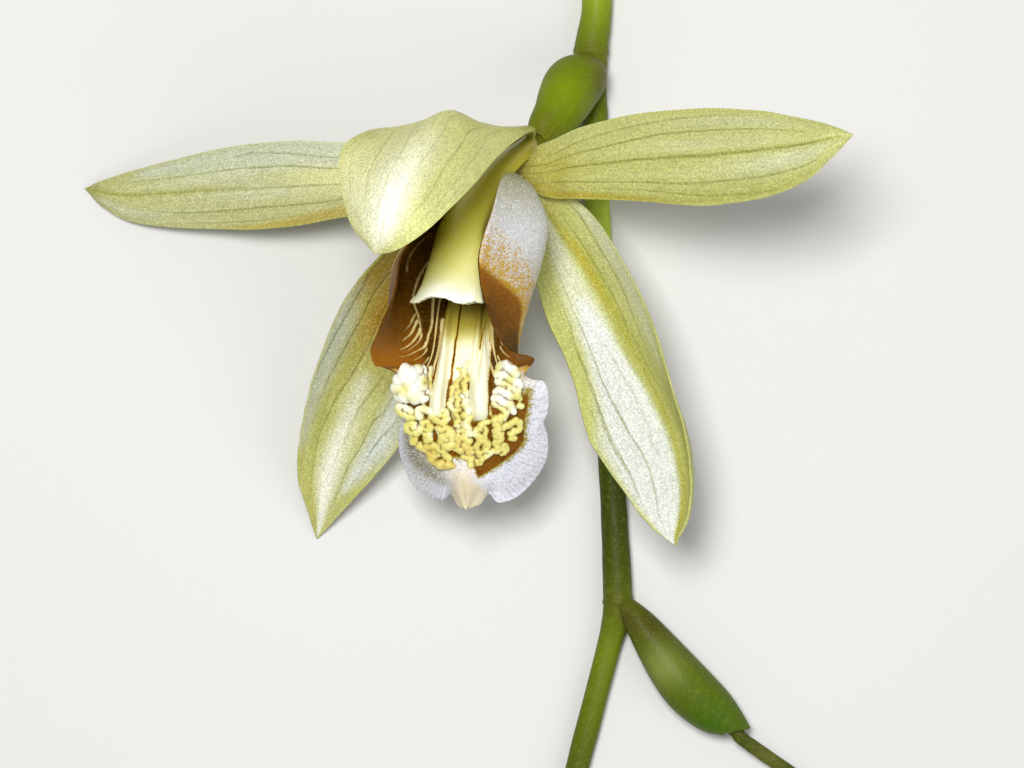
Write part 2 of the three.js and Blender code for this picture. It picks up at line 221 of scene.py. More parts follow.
for word, operation in {"add": "ADD", "sub": "SUBTRACT", "mul": "MULTIPLY", "truediv": "DIVIDE"}.items():
    setattr(Wire, f"__{word}__", operatorFor(operation, False))
    setattr(Wire, f"__r{word}__", operatorFor(operation, True))


class Graph:
    def __init__(self, tree):
        self.tree = tree

    def node(self, kind, settings=None, sockets=None, output=0):
        made = self.tree.nodes.new(kind)
        for name, value in (settings or {}).items():
            setattr(made, name, value)
        for name, value in (sockets or {}).items():
            if isinstance(value, Wire):
                self.tree.links.new(value.socket, made.inputs[name])
            else:
                made.inputs[name].default_value = value
        return Wire(self, made.outputs[output] if len(made.outputs) else None)

    def maths(self, operation, first, second=0.0):
        return self.node("ShaderNodeMath", {"operation": operation}, {0: first, 1: second})

    def scaled(self, vector, size):
        return self.node("ShaderNodeVectorMath", {"operation": "SCALE"}, {0: vector, "Scale": size})

    def vector(self, operation, first, second):
        return self.node("ShaderNodeVectorMath", {"operation": operation}, {0: first, 1: second})

    def blend(self, mask, first, second, way="MIX"):
        settings = {"data_type": "RGBA", "blend_type": way}
        return self.node("ShaderNodeMix", settings, {0: mask, 6: first, 7: second}, 2)

    def tinted(self, mask, colour, code):
        return self.blend(mask, colour, colourValue(code))

    def noise(self, place, scale, detail=2.0, roughness=0.5):
        values = {"Vector": place, "Scale": scale, "Detail": detail, "Roughness": roughness}
        return self.node("ShaderNodeTexNoise", None, values)

    def flecks(self, place, scale):    # one chance value, 0 to 1, for each tiny cell
        cell = self.node("ShaderNodeTexVoronoi", None, {"Vector": place, "Scale": scale}, 1)
        return self.node("ShaderNodeSeparateColor", None, {0: cell})

    def join(self, x, y):
        return self.node("ShaderNodeCombineXYZ", None, {0: x, 1: y})

    def attribute(self, name, output="Fac"):
        return self.node("ShaderNodeAttribute", {"attribute_name": name}, output=output)

    def place(self):
        return self.node("ShaderNodeTexCoord", output="Object")

    def grown(self):             # across and along the piece, each 0 to 1
        uv = self.node("ShaderNodeUVMap", {"uv_map": "grown"})
        return [self.node("ShaderNodeSeparateXYZ", None, {0: uv}, axis) for axis in range(2)]


def colourValue(code):
    return (*tint(code).tolist(), 1.0)


def newFinish(name, values):
    finish = bpy.data.materials.new(name)
    finish.use_nodes = True
    surface = finish.node_tree.nodes["Principled BSDF"]
    for socket, value in values.items():
        surface.inputs[socket].default_value = value
    return finish, Graph(finish.node_tree), surface


def setFinish(graph, surface, colour, height=None, depth=0.0):
    graph.tree.links.new(colour.socket, surface.inputs["Base Color"])
    if height is not None:
        relief = graph.node("ShaderNodeBump", None, {"Height": height, "Distance": depth, "Strength": 1.0})
        graph.tree.links.new(relief.socket, surface.inputs["Normal"])


# sepals and petals: rails run from base to tip, and a vein is a path [along, across, strength]

tepalForm = {"rows": 180, "columns": 72, "reach": 0.997, "wall": 0.56, "edge": 0.14,
             "channel": 0.16, "channelSpread": 0.07, "vein": 0.035, "veinSpread": 0.09,
             "swell": 0.08, "marginWave": 0.03, "sink": 0.6, "tipWall": 0.45,
             # the bases narrow towards the flower's heart
             "claw": 0.07, "clawPull": 0.7, "heart": [5.3, 16.8, 8.5]}
tepals = {
    "dorsalSepal": {             # folds over its midrib, so it has rails halfway out too
        "node": "dorsal_sepal", "seed": 3, "base": 0xD0D078, "back": 0xC3C476,
        "left": [[6.6, 19.5, 8.6], [3.8, 18.9, 11.4], [-0.1, 19.1, 15.2], [-3.3, 18.3, 19.6],
                 [-5.6, 18, 23.2], [-7.5, 16.4, 26], [-7.5, 13.9, 28], [-6.7, 10.8, 29.2], [-5, 8.7, 29.8]],
        "leftMiddle": [[6.7, 19.4, 8.7], [4.4, 18.9, 12.4], [1.4, 19, 17.2], [-1.3, 18.8, 21.6],
                       [-3.5, 17, 26.2], [-5.3, 14.6, 29], [-5.8, 12.1, 30.2], [-5.6, 10.2, 30.4],
                       [-5, 8.7, 29.8]],
        "midrib": [[6.8, 19.3, 8.9], [4.9, 18.8, 13.4], [2.5, 18.7, 18.8], [0.3, 19.1, 23.4],
                   [-1.5, 16.9, 28], [-3.1, 14.5, 30.6], [-4, 12, 31.5], [-4.5, 10.2, 31.2],
                   [-5, 8.7, 29.8]],
        "rightMiddle": [[6.9, 19.2, 9.1], [5.4, 18.7, 14.4], [3.2, 17.9, 20.2], [1.2, 16.4, 25.2],
                        [-0.6, 14.3, 29], [-2, 12.5, 30.9], [-3.1, 10.7, 31.4], [-4, 9.5, 30.9],
                        [-5, 8.7, 29.8]],
        "right": [[6.9, 19, 9.4], [5.8, 18.4, 15], [3.7, 16.3, 21], [2.1, 14.1, 25.6], [0.5, 12.2, 29],
                  [-1, 10.6, 30.8], [-2.6, 9.4, 31], [-3.9, 8.8, 30.4], [-5, 8.7, 29.8]],
        # the white patch near the middle is painted highlight where the hood faces the light
        "zones": [[0xF4F4DE, 0, 0.55, 0.8, 0.26, 0.9], [0xDDDE9A, 0.9, 0.35, 0.5, 0.3, 0.7],
                  [0xE6E7BA, -0.7, 0.4, 0.74, 0.16, 0.6], [0xF6F7E4, 0.08, 0.2, 0.7, 0.12, 0.5],
                  [0xB8B45C, -0.9, 0.14, 0.52, 0.07, 0.5], [0x9C9426, 0, 2, 0.02, 0.14, 0.85],
                  [0xDDB66C, -0.3, 0.4, 0.99, 0.015, 0.5]],
        # the band is painted highlight down the hood's most lit part
        "bands": [
            [0xF8F8E6, [[0.48, 0.12, 0.04], [0.6, 0.1, 0.14], [0.74, 0.05, 0.25], [0.9, 0.1, 0.4]], 0.3,
             0.35],
        ], "faint": 0.6,
        "veins": [
            [[0.6, -0.82, 0], [0.66, -0.78, 0.6], [0.76, -0.74, 0.6], [0.83, -0.62, 0]],
            [[0.2, -0.6, 0], [0.4, -0.62, 0.5], [0.48, -0.65, 0.7], [0.55, -0.55, 1], [0.6, -0.51, 1],
             [0.7, -0.44, 0.8], [0.8, -0.4, 0]],
            [[0.3, -0.4, 0], [0.45, -0.34, 0.5], [0.53, -0.19, 0.5], [0.6, -0.13, 0.5], [0.84, -0.15, 0.4],
             [0.9, -0.15, 0]],
            [[0.2, 0, 0], [0.39, 0.07, 0.5], [0.45, 0.14, 0.5], [0.6, 0.19, 0.4], [0.75, 0.24, 0.3],
             [0.86, 0.3, 0]],
            [[0.1, 0.2, 0.3], [0.33, 0.31, 0.9], [0.37, 0.4, 1], [0.42, 0.45, 1], [0.47, 0.48, 0.9],
             [0.56, 0.59, 0.9], [0.63, 0.6, 0.6], [0.7, 0.6, 0]],
            [[0.1, 0.4, 0.3], [0.275, 0.5, 0.6], [0.32, 0.64, 0.7], [0.45, 0.75, 0.7], [0.54, 0.79, 0.7],
             [0.65, 0.78, 0.6], [0.79, 0.73, 0.3], [0.85, 0.7, 0]],
        ],
    },
    "leftPetal": {
        "node": "left_petal", "seed": 11, "base": 0xB7B87C, "back": 0xAEB06A,
        "left": [[3.3, 15.6, 8.9], [-0.9, 13.5, 8.8], [-8.2, 12.5, 6.9], [-13.2, 11.8, 5.1],
                 [-18.1, 11.7, 3.2], [-24.7, 12.2, 1.3], [-27.8, 13.6, 0.6], [-29.4, 15.1, 0.2]],
        "midrib": [[3.3, 16.5, 9.1], [-0.9, 16.1, 8.9], [-8.2, 15.4, 7.2], [-13.1, 15.2, 5.6],
                   [-18.1, 14.9, 3.9], [-24.7, 14.4, 2], [-27.7, 14.8, 1], [-29.4, 15.1, 0.2]],
        "right": [[3.3, 17.4, 9.3], [-0.9, 18.2, 9], [-8.2, 18.3, 7.1], [-13.2, 18.5, 5.3],
                  [-18.1, 18.1, 3.5], [-24.7, 16.7, 1.5], [-27.8, 15.7, 0.7], [-29.4, 15.1, 0.2]],
        # the pale yellow near the base is painted light that offsets the dorsal sepal's shadow
        "zones": [[0xDCDA9C, 0.1, 0.45, 0.3, 0.14, 0.9], [0xBEC2A0, 0.35, 0.4, 0.55, 0.13, 0.7],
                  [0xC0C2A0, -0.2, 0.16, 0.48, 0.12, 0.6], [0xA09038, 0, 2, 0, 0.14, 0.8],
                  [0x98994A, 0, 2, 1, 0.13, 0.9], [0xCACCAE, -0.6, 0.2, 0.78, 0.14, 0.6]],
        "bands": [
            [0xC4CAAE, [[0.05, 0.8, 0.34], [0.3, 0.78, 0.4], [0.45, 0.74, 0.36], [0.6, 0.72, 0.26],
                        [0.7, 0.75, 0.16]], 0.2, 0.9],
            [0xB4A048, [[0.05, -0.9, 0.3], [0.3, -0.92, 0.22], [0.42, -0.95, 0.14], [0.55, -1, 0.06]], 0.1,
             0.85],
            [0xA6A650, [[0.55, -0.02, 0.04], [0.7, 0.03, 0.1], [0.85, -0.05, 0.16], [0.97, -0.15, 0.4]],
             0.1, 0.6],
        ],
        "veins": [
            [[0.35, -0.76, 0], [0.45, -0.78, 0.5], [0.6, -0.84, 0.5], [0.68, -0.85, 0]],
            [[0.1, -0.5, 0.9], [0.3, -0.53, 0.9], [0.49, -0.52, 1], [0.61, -0.57, 0.9], [0.66, -0.54, 0.6],
             [0.75, -0.4, 0]],
            [[0.1, -0.14, 0.8], [0.39, -0.09, 0.8], [0.53, -0.05, 0.4], [0.7, 0.04, 0.5],
             [0.83, -0.07, 0.6], [0.95, -0.2, 0.4]],
            [[0.1, 0.28, 0.9], [0.3, 0.31, 0.9], [0.39, 0.38, 1], [0.55, 0.43, 0.9], [0.63, 0.44, 0.6],
             [0.75, 0.56, 0.5], [0.8, 0.6, 0]],
            [[0.1, 0.55, 0.8], [0.3, 0.59, 0.8], [0.39, 0.66, 0.8], [0.49, 0.76, 0.6], [0.53, 0.74, 0.6],
             [0.58, 0.68, 0]],
        ],
    },
    "rightPetal": {
        "node": "right_petal", "seed": 17, "base": 0xBABC72, "back": 0xAEB264,
        "left": [[4.6, 17, 9.3], [6.3, 17.6, 10.2], [8, 18.2, 11.2], [10, 19, 12.6], [14.4, 19.8, 15.6],
                 [18.7, 20, 18.2], [23, 19.6, 20.6], [26.2, 18.8, 22.4], [28, 18.3, 23.4],
                 [29.5, 17.6, 24]],
        "midrib": [[4.6, 16.2, 9.3], [6.4, 16.2, 10.4], [8.1, 16.1, 11.6], [10, 16.2, 13.2],
                   [14.4, 16.4, 16.4], [18.6, 16.4, 19.2], [22.9, 16.6, 21.6], [26.1, 16.9, 23],
                   [28, 17.3, 23.7], [29.5, 17.6, 24]],
        "right": [[5.1, 15.4, 9.1], [6.6, 14.2, 10], [8.1, 13.7, 11.2], [10, 13.6, 12.8],
                  [14.4, 13.3, 15.6], [18.7, 12.8, 18.2], [23, 13.2, 20.4], [26.2, 14.4, 22.2],
                  [28, 16, 23.3], [29.5, 17.6, 24]],
        "zones": [[0xA8982A, 0, 2, 0.02, 0.15, 0.9], [0xB4A83A, 0.2, 0.7, 0.24, 0.1, 0.6],
                  [0xC4C79E, -0.66, 0.12, 0.64, 0.14, 0.6], [0xC4C8A4, 0.3, 0.24, 0.74, 0.13, 0.75],
                  [0xC2C598, -0.25, 0.14, 0.6, 0.16, 0.5], [0xAEAE58, 0.9, 0.2, 0.6, 0.2, 0.6]],
        "bands": [
            [0xAE9E2C, [[0.12, 0.8, 0.2], [0.24, 0.88, 0.2], [0.4, 0.95, 0.12], [0.5, 1, 0.05]], 0.1, 0.8],
            [0xA6A648, [[0.2, 0.1, 0.03], [0.37, 0.05, 0.035], [0.6, 0.01, 0.035], [0.88, -0.1, 0.06]],
             0.04, 0.6],
        ],
        "veins": [
            [[0.15, -0.35, 0], [0.22, -0.42, 0.7], [0.33, -0.6, 0.7], [0.41, -0.7, 0.7], [0.52, -0.8, 0.7],
             [0.6, -0.82, 0.4], [0.66, -0.84, 0]],
            [[0.08, -0.02, 0.5], [0.16, -0.06, 0.8], [0.24, -0.21, 0.9], [0.35, -0.32, 0.9],
             [0.41, -0.39, 1], [0.5, -0.5, 1], [0.63, -0.51, 0.9], [0.71, -0.51, 0.7], [0.76, -0.47, 0.4],
             [0.82, -0.4, 0]],
            [[0.05, 0.3, 0.5], [0.13, 0.28, 0.7], [0.24, 0.11, 0.9], [0.37, 0.05, 0.9], [0.52, 0, 0.8],
             [0.67, -0.02, 0.8], [0.76, -0.04, 0.9], [0.88, -0.1, 0.7], [0.96, -0.12, 0]],
            [[0.08, 0.66, 0.5], [0.15, 0.62, 0.8], [0.22, 0.5, 0.9], [0.33, 0.51, 1], [0.48, 0.56, 0.8],
             [0.63, 0.55, 0.8], [0.73, 0.58, 0.8], [0.8, 0.59, 0.5], [0.86, 0.5, 0]],
            [[0.25, 0.66, 0], [0.37, 0.69, 0.4], [0.52, 0.76, 0.6], [0.6, 0.82, 0.6], [0.68, 0.88, 0.3],
             [0.74, 0.97, 0]],
        ],
    },
    "leftSepal": {
        "node": "left_sepal", "seed": 23, "base": 0xB4B464, "back": 0xA6A858,
        "left": [[3.8, 15.8, 8.3], [-2.7, 11.9, 8], [-7.9, 6.6, 7.9], [-10.3, 1.3, 7], [-11.8, -4.1, 5.4],
                 [-12.2, -7.9, 3.4], [-11.5, -10.7, 1.8], [-10.9, -12.9, 0.2]],
        "midrib": [[4.4, 15.4, 8.7], [-0.1, 10.7, 7.6], [-3.6, 6.1, 6.4], [-6.1, 1.8, 5.2],
                   [-8.1, -2.9, 3.9], [-9.5, -6.9, 2.6], [-10.3, -10.2, 1.4], [-10.9, -12.9, 0.2]],
        "right": [[4.9, 15, 8.7], [2.1, 8.5, 8.6], [-0.6, 3.7, 8], [-2.1, -0.8, 6.8], [-3.9, -5, 5.4],
                  [-6.7, -8.4, 3.6], [-9, -10.9, 1.8], [-10.9, -12.9, 0.2]],
        # the dark gold towards the base is partly the sepal's colour and partly painted shade
        "zones": [[0x9A7002, -0.25, 0.34, 0.33, 0.1, 0.95], [0x9E7A12, -0.75, 0.4, 0.24, 0.07, 0.85],
                  [0x826A08, 0, 2, 0.08, 0.16, 0.85], [0xA9A552, 0.2, 0.6, 0.47, 0.07, 0.6],
                  [0xC6CAA0, 0.3, 0.5, 0.8, 0.14, 0.4]],
        "bands": [
            [0xC2C8BE, [[0.29, -1, 0.1], [0.36, -0.94, 0.26], [0.44, -0.9, 0.26], [0.52, -0.95, 0.2],
                        [0.6, -1, 0.1]], 0.22, 0.7],
            # the white streak and the pale grey patch are painted highlight where the sepal faces the light
            [0xF2F3EA, [[0.5, 0, 0.04], [0.57, 0, 0.12], [0.67, -0.04, 0.24], [0.76, -0.08, 0.32],
                        [0.88, -0.05, 0.36], [0.97, 0, 0.5]], 0.34, 0.8],
            [0xD6DCD8, [[0.5, 0.7, 0.1], [0.6, 0.75, 0.2], [0.7, 0.7, 0.14], [0.76, 0.66, 0.06]], 0.2, 0.9],
        ],
        "veins": [
            [[0.15, -0.88, 0.5], [0.23, -0.91, 0.7], [0.28, -0.85, 0.8], [0.34, -0.84, 0.9],
             [0.4, -0.9, 0.8], [0.44, -0.94, 0.6], [0.5, -0.97, 0]],
            [[0.15, -0.55, 0.5], [0.23, -0.61, 0.9], [0.28, -0.62, 1], [0.35, -0.57, 1], [0.41, -0.61, 1],
             [0.45, -0.64, 0.8], [0.49, -0.71, 0.5], [0.55, -0.75, 0.4], [0.62, -0.8, 0]],
            [[0.15, -0.2, 0.4], [0.31, -0.29, 0.5], [0.41, -0.18, 0.8], [0.48, -0.27, 0.9],
             [0.53, -0.4, 0.8], [0.6, -0.54, 0.6], [0.69, -0.61, 0.5], [0.78, -0.69, 0.4], [0.85, -0.7, 0]],
            [[0.3, 0.3, 0], [0.45, 0.34, 0.4], [0.5, 0.28, 0.6], [0.55, 0.16, 0.6], [0.64, 0.1, 0.4],
             [0.73, -0.04, 0.2], [0.8, -0.1, 0]],
            [[0.3, 0.6, 0], [0.52, 0.6, 0.7], [0.57, 0.48, 0.9], [0.65, 0.49, 0.9], [0.7, 0.44, 0.9],
             [0.78, 0.49, 0.8], [0.86, 0.48, 0.6], [0.92, 0.4, 0]],
            [[0.45, 0.85, 0], [0.55, 0.78, 0.6], [0.6, 0.71, 0.8], [0.65, 0.7, 0.7], [0.7, 0.74, 0.4],
             [0.76, 0.75, 0]],
        ],
    },
    "rightSepal": {
        "node": "right_sepal", "seed": 31, "base": 0xBCBE70, "back": 0xAEB062,
        "left": [[5.4, 14.9, 8.6], [6.1, 9.7, 9.4], [7.2, 5, 10], [8.8, 1.6, 10.6], [9.9, -2.1, 11.1],
                 [10.8, -5.1, 11.5], [12.6, -7.9, 12], [14.9, -10.9, 12.4], [17.1, -12.8, 12.6]],
        "midrib": [[6, 15.3, 8.5], [8.4, 11, 8.8], [11.3, 6.5, 8.9], [13.1, 2.4, 9.3], [15.3, -1.6, 9.9],
                   [16.8, -5, 10.5], [17.4, -8.1, 11.2], [17.4, -10.8, 12], [17.1, -12.8, 12.6]],
        "right": [[6.6, 15.7, 8.6], [10.8, 12.5, 11], [14.1, 7.1, 12.6], [15.9, 2.7, 13.4],
                  [17, -1.4, 13.9], [17.9, -4.8, 14.1], [18.2, -7.8, 14], [17.9, -10.7, 13.4],
                  [17.1, -12.8, 12.6]],
        "zones": [[0xC8CA94, 0.75, 0.25, 0.26, 0.12, 0.7], [0xA3A544, 0.7, 0.4, 0.64, 0.22, 0.85],
                  [0xA89C3A, 0, 2, 0, 0.08, 0.6]],
        "bands": [
            [0xBBBE72, [[0.15, -0.9, 0.16], [0.3, -0.88, 0.16], [0.48, -0.95, 0.14], [0.62, -1, 0.08]],
             0.16, 0.75],
            # the two silvery bands are partly the sepal's silvery tone and partly painted sheen where its
            # left face meets the light
            [0xD2D4B4, [[0.1, -0.16, 0.12], [0.16, -0.3, 0.24], [0.24, -0.38, 0.28], [0.34, -0.37, 0.34]],
             0.12, 0.95],
            [0xDCDFDE, [[0.28, -0.37, 0.14], [0.36, -0.36, 0.3], [0.44, -0.38, 0.38], [0.55, -0.42, 0.42],
                        [0.65, -0.46, 0.47], [0.8, -0.46, 0.5], [0.9, -0.5, 0.42], [0.98, -0.7, 0.3]], 0.12,
             0.92],
            # the olive band along the fold and the gold near the base are painted shade in the groove
            [0xAAA636, [[0.1, 0.18, 0.08], [0.16, 0.26, 0.12], [0.23, 0.2, 0.14], [0.3, 0.24, 0.14],
                        [0.39, 0.34, 0.14], [0.46, 0.33, 0.12], [0.53, 0.28, 0.12], [0.62, 0.22, 0.1],
                        [0.7, 0.22, 0.1], [0.8, 0.3, 0.14], [0.9, 0.35, 0.3], [0.99, 0.4, 0.6]], 0.12,
             0.75],
            [0xB8A82C, [[0.1, 0.12, 0.05], [0.17, 0.16, 0.08], [0.26, 0.1, 0.06]], 0.1, 0.75],
            [0xCCD0B4, [[0.12, 0.95, 0.14], [0.2, 0.92, 0.14], [0.3, 0.86, 0.1], [0.4, 0.84, 0.04]], 0.12,
             0.7],
        ],
        "veins": [
            [[0.2, -0.69, 0], [0.29, -0.71, 0.6], [0.35, -0.78, 0.7], [0.42, -0.8, 0.9], [0.57, -0.8, 1],
             [0.68, -0.79, 1], [0.74, -0.79, 0.7], [0.81, -0.84, 0.4], [0.85, -0.85, 0]],
            [[0.12, -0.45, 0], [0.16, -0.52, 0.6], [0.2, -0.54, 0.8], [0.25, -0.57, 1], [0.37, -0.59, 1],
             [0.45, -0.65, 1], [0.52, -0.62, 1], [0.6, -0.56, 1], [0.66, -0.51, 1], [0.72, -0.5, 1],
             [0.8, -0.55, 0.9], [0.87, -0.65, 0.7], [0.92, -0.66, 0]],
            [[0.36, -0.29, 0], [0.4, -0.29, 0.4], [0.53, -0.27, 0.5], [0.62, -0.32, 0.4], [0.7, -0.3, 0]],
            [[0.08, 0.42, 0.4], [0.17, 0.41, 0.7], [0.24, 0.35, 0.7], [0.33, 0.39, 0.6], [0.4, 0.44, 0.4],
             [0.5, 0.5, 0]],
            [[0.08, 0.8, 0.4], [0.11, 0.78, 0.8], [0.17, 0.7, 0.8], [0.24, 0.65, 0.8], [0.31, 0.6, 0.6],
             [0.4, 0.62, 0.3], [0.5, 0.65, 0]],
        ],
    },
}
tepalBase = 0x7E8628             # the backs darken towards the stalk
# glint and the warm white of the brightest cells are painted glitter highlight; pale is painted sheen in
# whitish streaks
tepalSkin = {"fleck": 12500, "grain": 14000, "streak": [70, 24], "swathe": [11, 2.6], "dapple": 300,
             "veinWidth": [0.02, 0.1], "veinShade": 0xA3A664, "veinDepth": 0.62,
             "threads": 5, "threadShare": 0.2, "fibreShare": 0.18,
             "dusk": 0x86873A, "duskShare": 0.18, "pale": (0.9, 0.9, 0.56, 1), "paleShare": 0.12,
             "rim": 0xBFC46C, "rimShare": 0.35, "glint": [0.84, 0.59],
             "glitterHighlight": 0xFFFFE0, "glitterHighlightShare": 0.3, "bump": 0.000012}


def veinFields(veins, u, t):     # a count that is whole on each vein, and how strong the nearest one is
    tables = [curveAt(vein, np.linspace(0, 1, 80)).T for vein in veins]
    middles = [np.interp(t[:, 0], along, across) for along, across, _ in tables]
    strengths = [np.interp(t[:, 0], along, strength) for along, _, strength in tables]
    lines = np.array([middles[0] - 0.5, *middles, middles[-1] + 0.5])
    shares = np.array([strengths[0] * 0, *strengths, strengths[0] * 0])
    count, strength = np.empty(u.shape), np.empty(u.shape)
    for row in range(len(u)):
        lines[:, row] = np.maximum.accumulate(lines[:, row] + np.arange(len(lines)) * 1e-4)
        count[row] = np.interp(u[row], lines[:, row], np.arange(len(lines)))
        strength[row] = np.interp(u[row], lines[:, row], shares[:, row])
    return count, strength


def bandColours(colour, bands, u, t):
    # long soft-edged bands: [colour, path of [along, across, half width], softness of the edge, strength]
    for code, path, edge, strength in bands:
        along, across, half = curveAt(path, np.linspace(0, 1, 60)).T
        off = np.abs(u - np.interp(t, along, across)) - np.interp(t, along, half)
        ends = step(t, along[0] - 0.05, along[0]) * (1 - step(t, along[-1], along[-1] + 0.05))
        share = strength * (1 - step(off, -edge, edge)) * ends
        colour += (tint(code) - colour) * share[..., None]
    return colour


def tepalMiddle(values, cross, t):       # the middle surface between the rails, one row for each t
    if "leftMiddle" in values:
        names = ("left", "leftMiddle", "midrib", "rightMiddle", "right")
        rails = np.array([curveAt(values[rail], t) for rail in names])
        middle = curveAt(rails, (cross + 1) / 2).transpose(1, 0, 2)
        u, t = np.meshgrid(cross, t)
    else:
        left, midrib, right = (curveAt(values[rail], t)[:, None] for rail in ("left", "midrib", "right"))
        u, t = np.meshgrid(cross, t)
        wide = (u * (1 + 0.006 * drift(values["seed"], 6, t * 30) * step(t, 0.1, 0.3)))[..., None]
        middle = left * (wide * (wide - 1) / 2) + midrib * (1 - wide * wide)
        middle = middle + right * (wide * (wide + 1) / 2)
    pull = np.clip(1 - t / tepalForm["claw"], 0, 1)[..., None] ** 2
    return middle + (np.array(tepalForm["heart"]) - middle) * pull * tepalForm["clawPull"], u, t


def makeTepal(name, values):
    form, seed = tepalForm, values["seed"]
    cross = np.sin(np.linspace(-0.5, 0.5, form["columns"]) * math.pi)
    middle, u, t = tepalMiddle(values, cross, np.linspace(0, form["reach"], form["rows"]))
    out = normalsOf(middle)
    out = out * np.sign(out[..., 2].mean())      # the front faces up
    body = step(t, 0.02, 0.2) * (1 - step(t, 0.9, 1))
    count, strength = veinFields(values["veins"], u, t)
    strength = strength * values.get("faint", 1)
    veins = strength * bell(np.abs((count + 0.5) % 1 - 0.5), 0, form["veinSpread"])
    sway = form["swell"] * drift(seed + 1, 8, t * 12, u * 2) * body
    sway = sway + form["marginWave"] * drift(seed + 2, 8, t * 60, u * 3) * body * u * u
    channel = form["channel"] * bell(u, 0, form["channelSpread"]) * body
    middle = middle + out * (sway - channel * form["sink"])[..., None]
    half = (form["wall"] + (form["edge"] - form["wall"]) * u ** 2) / 2
    half = half * (form["tipWall"] + (1 - form["tipWall"]) * (1 - step(t, 0.85, 1)))
    upper = middle + out * (half - form["vein"] * veins)[..., None]
    lower = middle - out * (half + form["vein"] * veins)[..., None]
    front = bandColours(paint(values["base"], values["zones"], u, t), values["bands"], u, t)
    back = paint(values["back"], [[tepalBase, 0, 3, 0, 0.3, 1]], u, t) * 0.8 + front * 0.2
    fields = {"count": (count, count), "strength": (strength, strength)}
    mesh = sheetMesh(name, upper, lower, u, t, fields, front, back)
    keepPiece(name, mesh, tepalFinish(name + "Skin"), "tepal", values["node"])


def tepalFinish(name):
    finish, graph, surface = newFinish(name, {
        "Roughness": 0.42, "Specular IOR Level": 0.2, "Subsurface Weight": 0.12,
        "Subsurface Radius": (0.6, 0.6, 0.25), "Subsurface Scale": 0.0006})
    skin, place = tepalSkin, graph.place()
    across, along = graph.grown()
    flesh = graph.attribute("flesh", "Color")
    # flecks and grain give each tiny cell a glint value for the painted glitter highlight
    fleck = graph.flecks(place, skin["fleck"])
    grain = graph.noise(place, skin["grain"], 2, 0.7).smooth(0.3, 0.7)
    glint = fleck * 0.55 + grain * 0.45
    dapple = graph.noise(place, skin["dapple"], 3)
    fibre = graph.noise(graph.join(across * skin["streak"][0], along * skin["streak"][1]), 1.0, 3, 0.6)
    swathe = graph.noise(graph.join(across * skin["swathe"][0], along * skin["swathe"][1]), 1.0, 2)
    count = graph.attribute("count") + (graph.noise(place, 700, 2) - 0.5) * 0.08
    off = ((count + 0.5).fraction() - 0.5).absolute()
    vein = (1 - off.smooth(*skin["veinWidth"])) * graph.attribute("strength") * fibre.smooth(0.2, 0.5)
    threads = 1 - ((count * skin["threads"] + 0.5).fraction() - 0.5).absolute().smooth(0.0, 0.32)
    threads = threads * dapple.smooth(0.45, 0.65) * fibre.smooth(0.35, 0.6)
    rim = (across * 2 - 1).absolute().smooth(0.94, 0.99)
    lines = fibre.smooth(0.45, 0.7) * skin["fibreShare"] + threads * skin["threadShare"]
    colour = graph.tinted(swathe.smooth(0.55, 0.75) * skin["duskShare"], flesh, skin["dusk"])
    # whitish streaks along the fibres are painted sheen
    colour = graph.blend((1 - swathe.smooth(0.3, 0.5)) * skin["paleShare"], colour, skin["pale"])
    colour = graph.tinted(lines, colour, skin["dusk"])
    colour = graph.blend(vein * skin["veinDepth"], colour, colourValue(skin["veinShade"]), "MULTIPLY")
    colour = graph.tinted(rim * skin["rimShare"], colour, skin["rim"])
    # painted glitter: the colour is scaled brighter or darker by each cell's glint, and the brightest cells
    # are painted warm white as highlight
    colour = graph.scaled(colour, glint * skin["glint"][0] + skin["glint"][1])
    glitterHighlight = graph.tinted(0.5, flesh, skin["glitterHighlight"])
    colour = graph.blend(fleck.smooth(0.8, 1.0) * skin["glitterHighlightShare"], colour, glitterHighlight)
    setFinish(graph, surface, colour, glint + fibre * 0.6 - vein * 1.5, skin["bump"])
    return finish


for name, values in tepals.items():
    makeTepal(name, values)


# lip: one sheet between seven rails, left margin first, with ridges along its floor; a place along
# or across is a share of the sheet, 0 to 1 from base to tip and -1 to 1 from left to right

